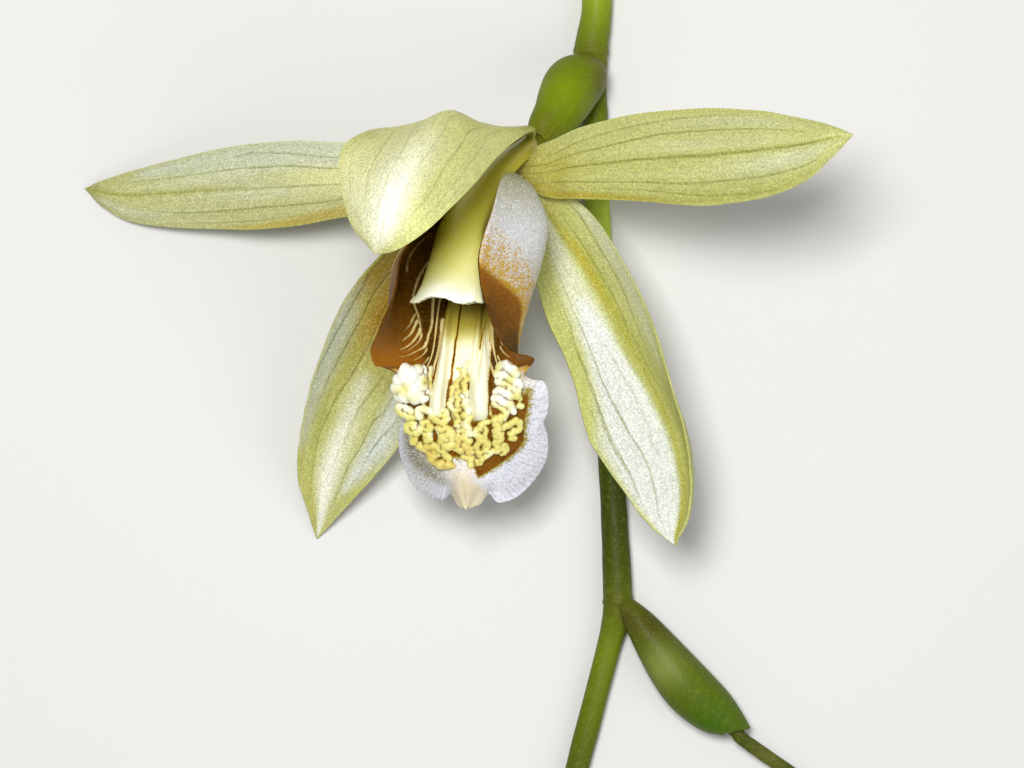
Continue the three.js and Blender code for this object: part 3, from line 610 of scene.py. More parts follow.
lip = {
    "rails": [
        [[2.5, 15.5, 10.8], [-0.9, 13.5, 17.5], [-1.8, 11.2, 21.4], [-3.1, 9.1, 22.8], [-3.7, 7.2, 22.9],
         [-4.1, 5.5, 22.2], [-4.8, 3.8, 20.9], [-5.6, 2.1, 19], [-4.7, 1, 16.6], [-3.8, 0.1, 14.9],
         [-4.3, -1, 14], [-4.1, -3.2, 12.4], [-3.7, -5.6, 10.9], [-3.1, -7.9, 9.8], [-1.5, -9.3, 9.8],
         [0.6, -9.9, 11.2]],
        [[2.8, 15.2, 10.3], [-1, 13.6, 14], [-2.1, 11.2, 16.6], [-3.5, 9, 17.6], [-4, 7.2, 18],
         [-4.1, 5.3, 17.5], [-3.8, 3.4, 16.6], [-3.4, 1.8, 15.7], [-3, 0.7, 14.9], [-2.7, -0.3, 14.5],
         [-3.2, -1.6, 14.3], [-3.1, -3.8, 13.4], [-2.8, -5.9, 12.2], [-2.2, -7.8, 11], [-0.8, -9, 10.8],
         [0.8, -9.9, 11.4]],
        [[3.4, 15, 9.9], [1.2, 13.2, 10.8], [0.9, 11.3, 11.3], [0.2, 9.3, 11.7], [-0.4, 7.4, 12.2],
         [-0.9, 5.4, 12.8], [-1.1, 3.4, 13.3], [-1.2, 1.7, 13.8], [-1.3, 0.6, 14.1], [-1.3, -0.6, 14.3],
         [-1.4, -1.7, 14.4], [-1.4, -3.8, 14], [-1.1, -5.9, 13.2], [-0.7, -7.7, 12.2], [0, -8.8, 11.6],
         [1, -9.9, 11.5]],
        [[4.1, 15, 9.8], [3.3, 13.3, 10.3], [2.8, 11.4, 10.9], [2.3, 9.3, 11.4], [1.8, 7.4, 12],
         [1.4, 5.4, 12.7], [1.2, 3.4, 13.4], [1.1, 1.7, 13.9], [1, 0.6, 14.1], [1, -0.6, 14.3],
         [1, -1.7, 14.4], [1.1, -3.8, 14.1], [1.1, -5.8, 13.5], [1.1, -7.6, 12.8], [1.2, -8.7, 12.1],
         [1.2, -9.9, 11.5]],
        [[4.6, 15, 10], [4.7, 13.7, 11], [4.4, 11.7, 11.6], [4.2, 9.6, 12], [3.9, 7.6, 12.5],
         [3.7, 5.6, 13.1], [3.5, 3.6, 13.6], [3.3, 1.8, 14.1], [3.3, 0.6, 14.3], [3.4, -0.5, 14.5],
         [3.6, -1.6, 14.6], [3.6, -3.7, 14.2], [3.6, -5.6, 13.4], [3.2, -7.5, 12.5], [2.3, -8.7, 11.8],
         [1.4, -9.9, 11.5]],
        [[5.1, 15.2, 10.6], [6.2, 14.2, 15.4], [7.2, 11.8, 16.8], [7.1, 9.9, 17.4], [6.5, 7.6, 17.7],
         [5.9, 5.7, 17.7], [5.4, 3.8, 17.2], [5, 2.1, 16.4], [4.9, 0.9, 15.2], [4.8, -0.2, 14.9],
         [5.5, -1.2, 14.6], [5.8, -3.2, 13.7], [5.8, -5.3, 12.6], [5.2, -7.5, 11.5], [3.6, -8.9, 11.1],
         [1.6, -9.9, 11.4]],
        [[5.5, 15.4, 11.6], [4.1, 14.9, 19], [3.1, 11.6, 23.4], [2.5, 9.3, 24.8], [2.4, 7.3, 24.6],
         [2.9, 5.4, 23.4], [3.4, 3.8, 21.8], [4.3, 2.2, 19.4], [6.3, 1.3, 17.2], [5.6, 0.3, 15.2],
         [7.3, -0.4, 14.2], [7.6, -2, 12.9], [7.6, -4.5, 11.4], [7.2, -7, 10.2], [5.1, -9.3, 10.2],
         [1.8, -9.9, 11.3]],
    ],
    "backRows": 50, "frontRows": 215, "floorColumns": 121, "wallColumns": 22, "floorHalf": 0.64,
    "wall": 0.46, "edge": 0.16, "frill": 0.26, "lobeWave": 0.14, "crimp": 0.035,
    "beak": 0.6, "crease": 0.16, "veinRise": 0.05, "innerBase": 0xE4E5EC, "outerBase": 0xD8D8DA,
    "innerZones": [[0xE4D8C4, -0.06, 0.2, 0.85, 0.05, 1], [0xCDB88E, 0.85, 0.35, 0.605, 0.03, 0.85],
                   [0xF8F6DC, -0.65, 0.35, 0.61, 0.06, 1], [0xF8F6DC, 0.6, 0.3, 0.61, 0.06, 1],
                   # the two olive patches beside the crest are partly brown tissue and partly painted shade
                   # of the crest
                   [0x8C8644, -0.6, 0.24, 0.78, 0.06, 0.95], [0x9C9656, -0.42, 0.16, 0.84, 0.04, 0.8],
                   [0xC8C7A6, -0.75, 0.2, 0.86, 0.05, 0.5], [0x94703E, -0.98, 0.08, 0.655, 0.02, 0.9]],
    "innerBands": [
        # the olive band along the crest's lower left edge is partly brown tissue and partly painted shade
        # of the crest
        [0x6E6628, [[0.71, -0.8, 0.05], [0.78, -0.68, 0.1], [0.82, -0.56, 0.12], [0.85, -0.42, 0.1],
                    [0.87, -0.3, 0.05]], 0.16, 0.85],
        [0xFCFAD8, [[0.36, 0, 0.42], [0.74, -0.05, 0.42]], 0.06, 1],
        [0xDED0AC, [[0.87, -0.02, 0.1], [0.91, 0.04, 0.24], [0.933, 0.08, 0.34], [0.96, 0.08, 0.6],
                    [0.98, 0.1, 1], [1, 0.1, 1.2]], 0.08, 0.95],
        # the olive-yellow on the floor under the column is painted shadow of the column
        [0xDCD476, [[0, 0.05, 0.5], [0.41, 0.03, 0.4]], 0.06, 0.8],
        [0xAE9E30, [[0, 0.05, 0.5], [0.385, 0.03, 0.4]], 0.06, 0.95],
    ],
    "outerZones": [[0xD6D3A0, 0, 0.4, 0.3, 0.4, 0.9], [0xA29E62, 0.95, 0.35, 0.06, 0.06, 0.9],
                   [0xA9A39A, 0.7, 0.08, 0.37, 0.1, 0.8], [0xB4B488, 0.62, 0.1, 0.2, 0.1, 0.7]],
    # the brown outside the side lobes: where it starts, its slope, how much sooner on the left one
    "outerStain": [0.168, 0.42, 0.08],
    # half width of the cream tip: place along, reach across
    "cream": [[0.8, 0.1], [0.87, 0.2], [0.933, 0.44], [0.96, 0.7], [1, 1.2]],
    # how far the front lobe's margins stand out, in millimetres: place along, reach
    "scallopRight": [[0.55, 0], [0.59, 0.1], [0.62, -0.1], [0.64, -0.3], [0.66, -0.08], [0.7, -0.2],
                     [0.725, -0.22], [0.742, -0.42], [0.758, -0.85], [0.774, -0.62], [0.79, -0.34],
                     [0.82, -0.2], [0.88, -0.17], [0.93, -0.25], [1, -0.3]],
    "scallopLeft": [[0.44, 0], [0.47, 0.12], [0.5, 0.45], [0.53, 0.8], [0.545, 0.75], [0.56, 0.3],
                    [0.59, 0.17], [0.64, 0.29], [0.68, 0.19], [0.7, -0.3], [0.72, -0.42], [0.76, -0.22],
                    [0.8, 0.06], [0.82, 0.08], [0.85, -0.3], [0.88, -0.25], [0.9, 0], [0.93, -0.1],
                    [1, -0.3]],
    # how far the left side lobe's lower corner drops: place along, spread, millimetres
    "corner": [0.507, 0.024, 0.6],
    # notches beside the tip: place [x, y], half width, how far in
    "notches": [[[2.9, -9.8], 0.42, 0.85], [[0.05, -9.75], 0.4, 0.8]],
    # the edge of the brown on the front lobe: place along, place across
    "stainRight": [[0.5, 1.2], [0.6, 0.95], [0.653, 0.875], [0.73, 0.69], [0.777, 0.675], [0.803, 0.588],
                   [0.827, 0.438], [0.85, 0.3], [0.875, 0.1], [1, -0.2]],
    "stainLeft": [[0.5, -1.2], [0.62, -1.1], [0.68, -0.8], [0.74, -0.62], [0.783, -0.5], [0.82, -0.36],
                  [0.847, -0.22], [0.87, 0], [1, 0.2]],
}
# ridges: places along and across, half width across, end, rise in millimetres
ridges = [
    {"along": [0.3, 0.45, 0.54, 0.63, 0.72], "across": [-0.215, -0.225, -0.23, -0.258, -0.275],
     "half": 0.058, "end": 0.715, "rise": 0.85},
    {"along": [0.3, 0.44, 0.54, 0.62], "across": [0.03, 0.03, -0.02, -0.05], "half": 0.1, "end": 0.6,
     "rise": 0.3},
    {"along": [0.3, 0.44, 0.54, 0.6, 0.68], "across": [0.14, 0.12, 0.12, 0.115, 0.115], "half": 0.036,
     "end": 0.68, "rise": 0.5},
    {"along": [0.3, 0.44, 0.52, 0.6, 0.67, 0.72], "across": [0.29, 0.275, 0.24, 0.2, 0.178, 0.168],
     "half": 0.07, "end": 0.72, "rise": 0.95},
]
ridgeStart, ridgeFull = 0.28, 0.36
# pale veins on the side lobes: [place along, place across], ..., half width across, strength
veins = [
    [[[0.13, 0.52], [0.16, 0.6], [0.2, 0.615], [0.25, 0.59]], 0.016, 0.55],
    [[[0.2, 0.475], [0.25, 0.51], [0.31, 0.525], [0.36, 0.487], [0.4, 0.475], [0.425, 0.49]], 0.014, 0.6],
    [[[0.29, 0.405], [0.37, 0.387], [0.407, 0.412], [0.443, 0.45], [0.457, 0.56], [0.465, 0.66]], 0.016,
     0.75],
    [[[0.3, 0.35], [0.37, 0.345], [0.453, 0.362], [0.527, 0.425], [0.56, 0.512]], 0.012, 0.8],
    [[[0.36, 0.295], [0.42, 0.288], [0.49, 0.312], [0.56, 0.35], [0.603, 0.45]], 0.02, 0.9],
    [[[0.33, 0.52], [0.345, 0.55], [0.36, 0.575], [0.38, 0.65]], 0.012, 0.4],
    [[[0.345, 0.5], [0.36, 0.525], [0.38, 0.562], [0.405, 0.655]], 0.013, 0.7],
    [[[0.36, 0.49], [0.377, 0.512], [0.403, 0.562], [0.417, 0.625], [0.432, 0.7]], 0.014, 0.9],
    [[[0.38, 0.47], [0.403, 0.5], [0.427, 0.562], [0.447, 0.662], [0.46, 0.76]], 0.015, 0.95],
    [[[0.4, 0.46], [0.425, 0.5], [0.44, 0.562], [0.457, 0.65], [0.468, 0.76]], 0.013, 0.8],
    [[[0.42, 0.44], [0.437, 0.45], [0.453, 0.525], [0.467, 0.612], [0.483, 0.738], [0.489, 0.8]], 0.015,
     0.85],
    [[[0.44, 0.42], [0.453, 0.438], [0.47, 0.487], [0.49, 0.587], [0.5, 0.68]], 0.015, 0.75],
    [[[0.47, 0.4], [0.5, 0.45], [0.52, 0.56]], 0.016, 0.7],
]
# brown lines on the floor: [place along, place across], ..., half width across
floorLines = [
    [[[0.2, -0.075], [0.38, -0.075], [0.437, -0.1], [0.54, -0.112], [0.6, -0.125]], 0.014],
    [[[0.3, 0.24], [0.373, 0.225], [0.403, 0.182], [0.44, 0.17], [0.46, 0.17]], 0.01],
    [[[0.57, -0.12], [0.62, -0.14], [0.68, -0.15], [0.72, -0.14]], 0.026],
    [[[0.54, 0.035], [0.58, 0.05], [0.63, 0.045], [0.67, 0.04], [0.72, 0.04]], 0.022],
]
# the pale floor between the side lobes: [place along, left edge, right edge]
paleFloor = [[0, -0.2, 0.3], [0.3, -0.25, 0.32], [0.393, -0.265, 0.33], [0.45, -0.277, 0.345],
             [0.5, -0.285, 0.325], [0.54, -0.29, 0.3], [0.6, -0.33, 0.26], [0.68, -0.35, 0.24],
             [0.73, -0.3, 0.23]]


def lipGrid(t, u):
    rails = curveAt(np.array(lip["rails"]).transpose(1, 0, 2), t)
    return curveAt(rails.transpose(1, 0, 2), (u + 1) / 2).transpose(1, 0, 2)


def ridgeShape(u, t):
    rise, cover = 0.0, 0.0
    for ridge in ridges:
        centre = np.interp(t, ridge["along"], ridge["across"])
        length = step(t, ridgeStart, ridgeFull) * (1 - step(t, ridge["end"] - 0.03, ridge["end"] + 0.01))
        shape = np.exp(-np.abs((u - centre) / ridge["half"]) ** 3) * length
        rise, cover = rise + ridge["rise"] * shape, np.maximum(cover, shape)
    return rise, cover


def lineMask(u, t, points, half):       # 1 on a line across the grown sheet, 0 away from it
    along, across = curveAt(points, np.linspace(0, 1, 60)).T
    ends = step(t, along[0] - 0.004, along[0] + 0.012) * (1 - step(t, along[-1] - 0.012, along[-1] + 0.004))
    return bell(u, np.interp(t, along, across), half) * ends


def lipStain(u, t, cover):              # how brown the inner side is, and how pale its veins
    right, left = (np.interp(t, *np.transpose(lip[side])) for side in ("stainRight", "stainLeft"))
    stain = np.clip(0.5 + np.minimum(right - u, u - left) / 0.22, 0, 1)
    along, leftEdge, rightEdge = np.transpose(paleFloor)
    inside = np.minimum(u - np.interp(t, along, leftEdge), np.interp(t, along, rightEdge) - u)
    pale = np.clip(0.5 + inside / 0.014, 0, 1) * (1 - step(t, 0.69, 0.73))
    lines = np.maximum.reduce([lineMask(u, t, points, half) for points, half in floorLines])
    stain = stain * (1 - pale * (1 - np.clip(lines * 1.5, 0, 1)))
    stain = stain * (1 - np.clip(cover * 1.4 - 0.4, 0, 1) * (1 - 0.6 * np.clip(lines * 1.5, 0, 1)))
    blocks = bell(t, 0.61, 0.055) * step(np.abs(u), 0.4, 0.47) * (1 - step(np.abs(u), 0.9, 1))
    stain = stain * (1 - 0.8 * blocks)
    tip = step(t, 0.79, 0.83) * (1 - step(np.abs(u + 0.06), 0.08 + 1.5 * (t - 0.8), 0.14 + 1.5 * (t - 0.8)))
    vein = np.maximum.reduce([strength * lineMask(np.abs(u), t, points, half)
                              for points, half, strength in veins])
    return stain * (1 - tip), vein, np.maximum(pale, cover)


def lipPlaces():                 # where the lip's points lie along it and across it
    t = np.concatenate([np.linspace(0, 0.3, lip["backRows"], endpoint=False),
                        np.linspace(0.3, 1, lip["frontRows"])])
    half = lip["floorHalf"]
    u = np.concatenate([np.linspace(-1, -half, lip["wallColumns"])[:-1],
                        np.linspace(-half, half, lip["floorColumns"]),
                        np.linspace(half, 1, lip["wallColumns"])[1:]])
    return t, u


def shapeMargins(middle, out, u, t):
    outer, front = np.abs(u), step(t, 0.62, 0.7)
    aside = unit(np.gradient(middle, axis=1)) * np.sign(u)[..., None]
    frill = lip["frill"] * drift(5, 9, t * 55, u) * step(outer, 0.7, 1) * front * (1 - step(t, 0.93, 1))
    wave = lip["lobeWave"] * drift(6, 9, t * 45, u) * step(outer, 0.6, 1) * (1 - front) * step(t, 0.02, 0.1)
    right, left = (np.interp(t, *np.transpose(lip[side])) for side in ("scallopRight", "scallopLeft"))
    scallop = np.where(u > 0, right, left) * step(outer, 0.55, 1)
    crimp = lip["crimp"] * np.sin(t * 560 + drift(8, 5, t * 60, u * 6) * 2) * step(outer, 0.8, 1) * front
    middle = middle + out * (frill + wave)[..., None] + aside * (crimp + scallop)[..., None]
    place, spread, drop = lip["corner"]
    middle[..., 1] -= drop * bell(t, place, spread) * step(outer, 0.75, 1) * (u < 0)
    for (x, y), wide, deep in lip["notches"]:
        reach = bell(middle[..., 0], x, wide) * bell(middle[..., 1], y, 1.15) * step(t, 0.8, 0.9)
        middle[..., 1] += deep * reach
    return middle


def beakShape(u, t):             # the fold down the middle of the tip, with a crease in it
    fold = bell(u, -0.02, 0.13 + 0.5 * np.maximum(t - 0.85, 0))
    beak = lip["beak"] * fold * step(t, 0.8, 0.86) * (1 - 0.5 * step(t, 0.9, 1))
    return beak - lip["crease"] * bell(u, -0.02, 0.03) * step(t, 0.85, 0.89) * (1 - step(t, 0.97, 1))


def lipFields(u, t, stain, vein, pale):  # what the finish reads, for the inner and the outer side
    outer = np.abs(u)
    start, slope, sooner = lip["outerStain"]
    edge = start + (0.99 - outer) * slope - sooner * (u < 0)
    outside = step(t, edge - 0.09, edge + 0.15) * (1 - step(t, 0.52, 0.6)) * step(outer, 0.3, 0.45)
    outside = outside * (1 - 0.35 * bell(outer, 0.7, 0.07) * step(t, 0.3, 0.4) * (u > 0))
    cream = bell(u, 0.05, np.interp(t, *np.transpose(lip["cream"]))) * step(t, 0.8, 0.88)
    satin = 1 - np.clip(pale + cream, 0, 1)
    deep = np.where(t > 0.53, 0.6, 1 - 0.8 * step(t, 0.3, 0.47) * step(outer, 0.4, 0.58))
    outerDeep = 0.1 + 0.75 * step(t, edge + 0.05, edge + 0.2)
    return {"stain": (stain, outside), "vein": (vein, vein * 0), "satin": (satin, satin * 0 + 1),
            "deep": (deep, outerDeep)}


def makeLip():
    t, u = lipPlaces()
    middle = lipGrid(t, u)
    u, t = np.meshgrid(u, t)
    out = normalsOf(middle)
    middle = shapeMargins(middle, out, u, t)
    thick = (lip["wall"] + (lip["edge"] - lip["wall"]) * np.abs(u) ** 1.5) / 2
    rise, cover = ridgeShape(u, t)
    stain, vein, pale = lipStain(u, t, cover)
    upper = middle + out * (thick + rise + beakShape(u, t) + lip["veinRise"] * vein)[..., None]
    lower = middle - out * thick[..., None]
    inner = bandColours(paint(lip["innerBase"], lip["innerZones"], u, t), lip["innerBands"], u, t)
    outer = paint(lip["outerBase"], lip["outerZones"], u, t)
    mesh = sheetMesh("lipSheet", upper, lower, u, t, lipFields(u, t, stain, vein, pale), inner, outer)
    keepPiece("lipSheet", mesh, lipFinish(), "lip", "lip")


lipSkin = {"fleck": 11000, "squash": (1, 1, 0.45), "clump": 2600, "broad": 420,
           "pleats": 14, "centre": [1.1, -4.6], "bump": 0.000016,
           "brown": 0x9A5C0C, "deepBrown": 0x462A00, "gold": 0xC49C30, "olive": 0x9A8A2E,
           "vein": 0xEAD892, "shade": 0xA9AABC, "goldShare": 0.4, "pleatShadeShare": 0.6, "shadeShare": 0.45}


def lipFinish():
    finish, graph, surface = newFinish("lipSkin", {
        "Roughness": 0.48, "Specular IOR Level": 0.1, "Subsurface Weight": 0.1,
        "Subsurface Scale": 0.0004, "Subsurface Radius": (0.7, 0.5, 0.3)})
    skin, place = lipSkin, graph.place()
    x, y = (graph.node("ShaderNodeSeparateXYZ", None, {0: place}, axis) for axis in range(2))
    along = graph.grown()[1]
    place = graph.vector("MULTIPLY", place, skin["squash"])
    fleck = graph.flecks(place, skin["fleck"])
    grain = graph.flecks(place, skin["fleck"] * 0.9)
    clump = graph.noise(place, skin["clump"], 3, 0.6)
    broad = graph.noise(place, skin["broad"], 3)
    given, satin = graph.attribute("stain"), graph.attribute("satin")
    front = along.smooth(0.56, 0.64)
    solid = given.smooth(0.55, 0.95)
    ragged = (grain - 0.5) * (1 - front * 0.6) + (clump - 0.5) * 0.7
    stain = (given + ragged * (1 - solid)).smooth(0.3, 0.7) * given.smooth(0.02, 0.2)
    deep = graph.attribute("deep") + (broad.smooth(0.3, 0.7) - 0.5) * 0.35
    brown = graph.tinted(deep, colourValue(skin["brown"]), skin["deepBrown"])
    brown = graph.tinted(fleck.smooth(0.6, 1.0) * 0.16, brown, skin["gold"])
    young = graph.tinted(front, colourValue(skin["gold"]), skin["olive"])
    loose = (1 - solid) * 1.2 + (fleck - 0.5) * 0.5 * (1 - solid)
    brown = graph.blend(loose.smooth(0.2, 0.9), brown, young)
    line = (graph.attribute("vein") + (clump - 0.5) * 0.4).smooth(0.3, 0.75)
    brown = graph.tinted(line * 0.9, brown, skin["vein"])
    centreX, centreY = (value * mm for value in skin["centre"])
    turn = graph.maths("ARCTAN2", y - centreY, x - centreX)
    pleat = (turn * skin["pleats"] + (broad - 0.5) * 1.5).fraction() - 0.5
    pleat = (1 - pleat.absolute().smooth(0.0, 0.28)) * along.smooth(0.62, 0.7)
    pleat = pleat * clump.smooth(0.4, 0.6) * satin
    flesh = graph.attribute("flesh", "Color")
    flesh = graph.tinted(given.smooth(0.05, 0.6) * (1 - front) * skin["goldShare"], flesh, skin["gold"])
    # the pleat lines are painted shade in the fine radial folds
    flesh = graph.tinted(pleat * skin["pleatShadeShare"], flesh, skin["shade"])
    flesh = graph.tinted((1 - fleck).smooth(0.45, 1.0) * skin["shadeShare"] * satin, flesh, skin["shade"])
    # white flecks are painted glitter highlight
    flesh = graph.blend(fleck.smooth(0.6, 1.0) * (satin * 0.4 + 0.06), flesh, (1, 1, 1, 1))
    relief = (fleck * satin - pleat) * (1 - stain) + grain * stain * 0.6 + line
    setFinish(graph, surface, graph.blend(stain, flesh, brown), relief, skin["bump"])
    return finish


makeLip()


# crest: rows of wart-like beads on the lip, grown together

crest = {"beadStep": 0.17, "wobble": 0.3, "across": 0.9, "alongRow": 0.95, "tall": 1.05,
         "sideLobe": 0.42, "sideReach": 0.55, "seed": 4, "voxel": 0.05, "smooth": 9, "lift": 0.45,
         "smoothTone": 0.13, "smoothKnob": 0.15, "yellowTone": 0.34, "toneDrift": 0.2,
         # hollow, whiteShade and yellowShade set painted shade in the hollows; topLight is painted
         # highlight on the bumps
         "hollowRounds": 10, "hollow": [0, 0.022], "whiteShade": 0.3, "yellowShade": 0.45, "topLight": 0.2,
         "colours": [0xF6F7E8, 0xE0DA7E, 0xD6C060, 0x7A4E0A]}    # white, yellow, golden, hollows
# rows [x, y] from above, bead radius, tone from 0 white to 1 golden, and where it isn't the usual one,
# the lift of the row's middle line in radii
crestRows = [
    [[[-3.75, -2.16], [-3.67, -2.54], [-3.22, -2.84], [-2.77, -2.99]], 0.39, 0.3],
    [[[-3.37, -2.31], [-2.92, -2.54]], 0.31, 0.2],
    [[[-2.24, -2.99], [-2.31, -2.54], [-1.94, -2.39], [-1.56, -2.61], [-1.18, -2.99], [-0.96, -3.29]], 0.38,
     0.15],
    [[[-1.03, -2.46], [-0.73, -2.76]], 0.34, 0.05],
    [[[-2.92, -3.37], [-3.14, -3.59], [-3.07, -4.04], [-2.62, -4.12], [-2.16, -3.82]], 0.38, 0.45],
    [[[-2.69, -3.52], [-2.62, -3.82]], 0.34, 0.4],
    [[[-2.69, -4.42], [-2.69, -4.87]], 0.35, 0.5],
    [[[-2.01, -3.37], [-1.63, -3.52], [-1.48, -3.82], [-1.86, -4.12], [-1.56, -4.42], [-1.63, -4.72]], 0.34,
     0.45],
    [[[-1.79, -4.5], [-1.79, -4.87]], 0.31, 0.6],
    [[[-2.31, -5.25], [-1.94, -5.4], [-1.48, -5.18], [-1.11, -5.18], [-0.88, -5.48]], 0.38, 0.6],
    [[[-1.48, -5.7], [-1.26, -5.93], [-1.33, -6.23], [-1.03, -6.38]], 0.39, 0.95],
    [[[-1.18, -5.48], [-0.96, -5.85]], 0.34, 0.9],
    [[[-0.5, -5.4], [-0.35, -5.78], [-0.13, -6.16]], 0.34, 0.6],
    [[[-0.73, -6.53], [-0.35, -6.61], [-0.05, -6.76]], 0.42, 0.85],
    [[[-0.5, -2.54], [-0.35, -2.91], [-0.58, -3.37]], 0.37, 0.2],
    [[[-0.73, -3.82], [-0.2, -3.97], [0.1, -4.2], [-0.43, -4.42], [-0.05, -4.65], [0.18, -5.02],
      [-0.28, -5.18]], 0.43, 0.42],
    [[[-0.58, -4.8], [-0.35, -5.18]], 0.38, 0.5],
    [[[0.7, 0.63], [0.93, 0.25], [0.7, -0.2], [0.55, -0.65], [0.63, -1.1], [0.4, -1.4], [0.7, -1.71],
      [0.48, -2.01], [0.7, -2.39], [0.48, -2.76], [0.7, -3.14], [0.55, -3.59], [0.7, -4.04]], 0.26, 0.45],
    [[[1.16, -1.86], [1.31, -2.23], [1.46, -2.54]], 0.36, 0.15],
    [[[1.08, -2.91], [1.46, -3.14], [1.16, -3.44], [1.46, -3.74]], 0.36, 0.35],
    [[[1, -4.04], [1.46, -4.2], [1.08, -4.5], [1.46, -4.8], [1.08, -5.1], [1.38, -5.4], [1.53, -5.7]], 0.36,
     0.5],
    [[[0.55, -4.42], [0.7, -4.8], [0.48, -5.25], [0.78, -5.55]], 0.34, 0.55],
    [[[1.08, -5.93], [1.53, -6.08], [1.53, -6.61]], 0.31, 0.55],
    [[[1.99, -6.38], [2.29, -6.53]], 0.27, 0.6],
    [[[2.36, -3.59], [2.81, -3.29]], 0.31, 0.35],
    [[[2.29, -3.82], [1.91, -4.04], [2.06, -4.42], [2.36, -4.57]], 0.3, 0.5],
    [[[2.21, -5.7], [1.99, -5.25], [2.21, -4.87], [2.66, -4.8], [2.81, -5.18], [2.59, -5.55]], 0.29, 0.5],
    [[[2.14, -5.85], [2.36, -6.23]], 0.31, 0.55],
    [[[2.59, -6.08], [2.97, -5.78], [3.34, -5.55], [3.8, -5.4], [4.17, -5.48]], 0.3, 0.45],
    [[[3.8, -5.02], [4.17, -5.1], [4.32, -5.4], [3.95, -5.78]], 0.26, 0.45],
    [[[3.42, -3.52], [3.72, -3.82], [3.42, -4.12], [3.95, -4.27], [3.57, -4.5], [3.95, -4.65],
      [3.49, -4.87], [3.72, -5.18]], 0.34, 0.42],
    [[[3.42, -3.29], [3.8, -3.06], [4.25, -2.91]], 0.34, 0.3],
    [[[4.1, -3.74], [4.47, -3.52], [4.93, -3.29], [5.3, -3.44], [5.23, -3.82], [4.85, -4.04], [4.62, -4.35],
      [4.78, -4.65]], 0.3, 0.5],
    [[[5.23, -2.16], [5.38, -2.23]], 0.3, 0.4],
    [[[2.97, -2.23], [3.04, -2.61], [3.19, -3.06]], 0.16, 0.5],
    [[[-3.6, 0.56], [-3.07, 0.48], [-2.54, 0.48]], 0.41, 0.02, 0.4],
    [[[-3.75, -0.05], [-3.07, -0.12], [-2.24, -0.12]], 0.52, 0, 0.4],
    [[[-3.9, -0.73], [-3.14, -0.8], [-2.16, -0.73]], 0.54, 0, 0.4],
    [[[-3.9, -1.33], [-3.29, -1.56], [-2.62, -1.71], [-1.94, -1.71]], 0.41, 0.03, 0.4],
    [[[3.8, 0.86], [4.32, 1.01], [4.7, 0.71], [5.08, 0.33]], 0.39, 0.15],
    [[[3.64, 0.18], [4.25, 0.25], [4.78, -0.05], [5.23, -0.5]], 0.42, 0.1],
    [[[3.64, -0.35], [4.32, -0.5], [4.93, -0.88], [5.15, -1.33]], 0.36, 0.08],
    [[[3.57, -0.95], [4.17, -1.1], [4.7, -1.4]], 0.37, 0.05],
    [[[3.42, -1.56], [4.02, -1.78], [4.47, -2.08], [4.7, -2.54]], 0.38, 0.12],
    [[[3.42, -2.01], [3.95, -2.31], [4.32, -2.61]], 0.31, 0.2],
    [[[5.08, -1.48], [5.3, -1.63]], 0.26, 0.35],
    [[[-1.95, 0.75], [-2, -0.1], [-1.75, -1.1]], 0.26, 0.12],
    [[[-1.4, 0.7], [-1.5, -0.3], [-1.42, -1.3]], 0.2, 0.25],
    [[[-3.3, 0.5], [-3.35, -0.4], [-3.2, -1.3]], 0.62, 0, 0.5],
    [[[-2.6, 0.45], [-2.6, -0.5], [-2.5, -1.45]], 0.62, 0, 0.5],
    [[[-2.95, 0.3], [-2.95, -0.4], [-2.85, -1.2]], 0.6, 0, 0.6],
    [[[4.1, 0.6], [4.2, -0.3], [4, -1.3], [3.9, -2]], 0.34, 0.1, 0.3],
    [[[1.2, 1.2], [1.05, 0.5], [1.22, -0.1], [1.05, -0.7], [1.25, -1.3]], 0.28, 0.25],
    [[[0.2, -0.8], [0.25, -1.4], [0.05, -2], [0.2, -2.5]], 0.26, 0.3],
    [[[2.75, -2.7], [2.5, -3]], 0.24, 0.35],
    [[[2.5, -3.7], [2.75, -4.1], [2.6, -4.5]], 0.24, 0.4],
]


def floorPoints():               # the upper side of the lip's floor and front lobe
    t, u = np.linspace(0.44, 1, 160), np.linspace(-0.95, 0.95, 120)
    grid = lipGrid(t, u)
    grid = grid + normalsOf(grid) * lip["wall"] / 2
    keep = (np.abs(u)[None, :] < 0.6 + 2.2 * np.maximum(t - 0.5, 0)[:, None])
    return grid[keep]


def nearestTo(points, places):   # for each place, which of the points is nearest as seen from above
    tree = KDTree(len(points))
    for i, (x, y) in enumerate(points[:, :2]):
        tree.insert((x, y, 0), i)
    tree.balance()
    return np.array([tree.find((x, y, 0))[1] for x, y in places[:, :2]])


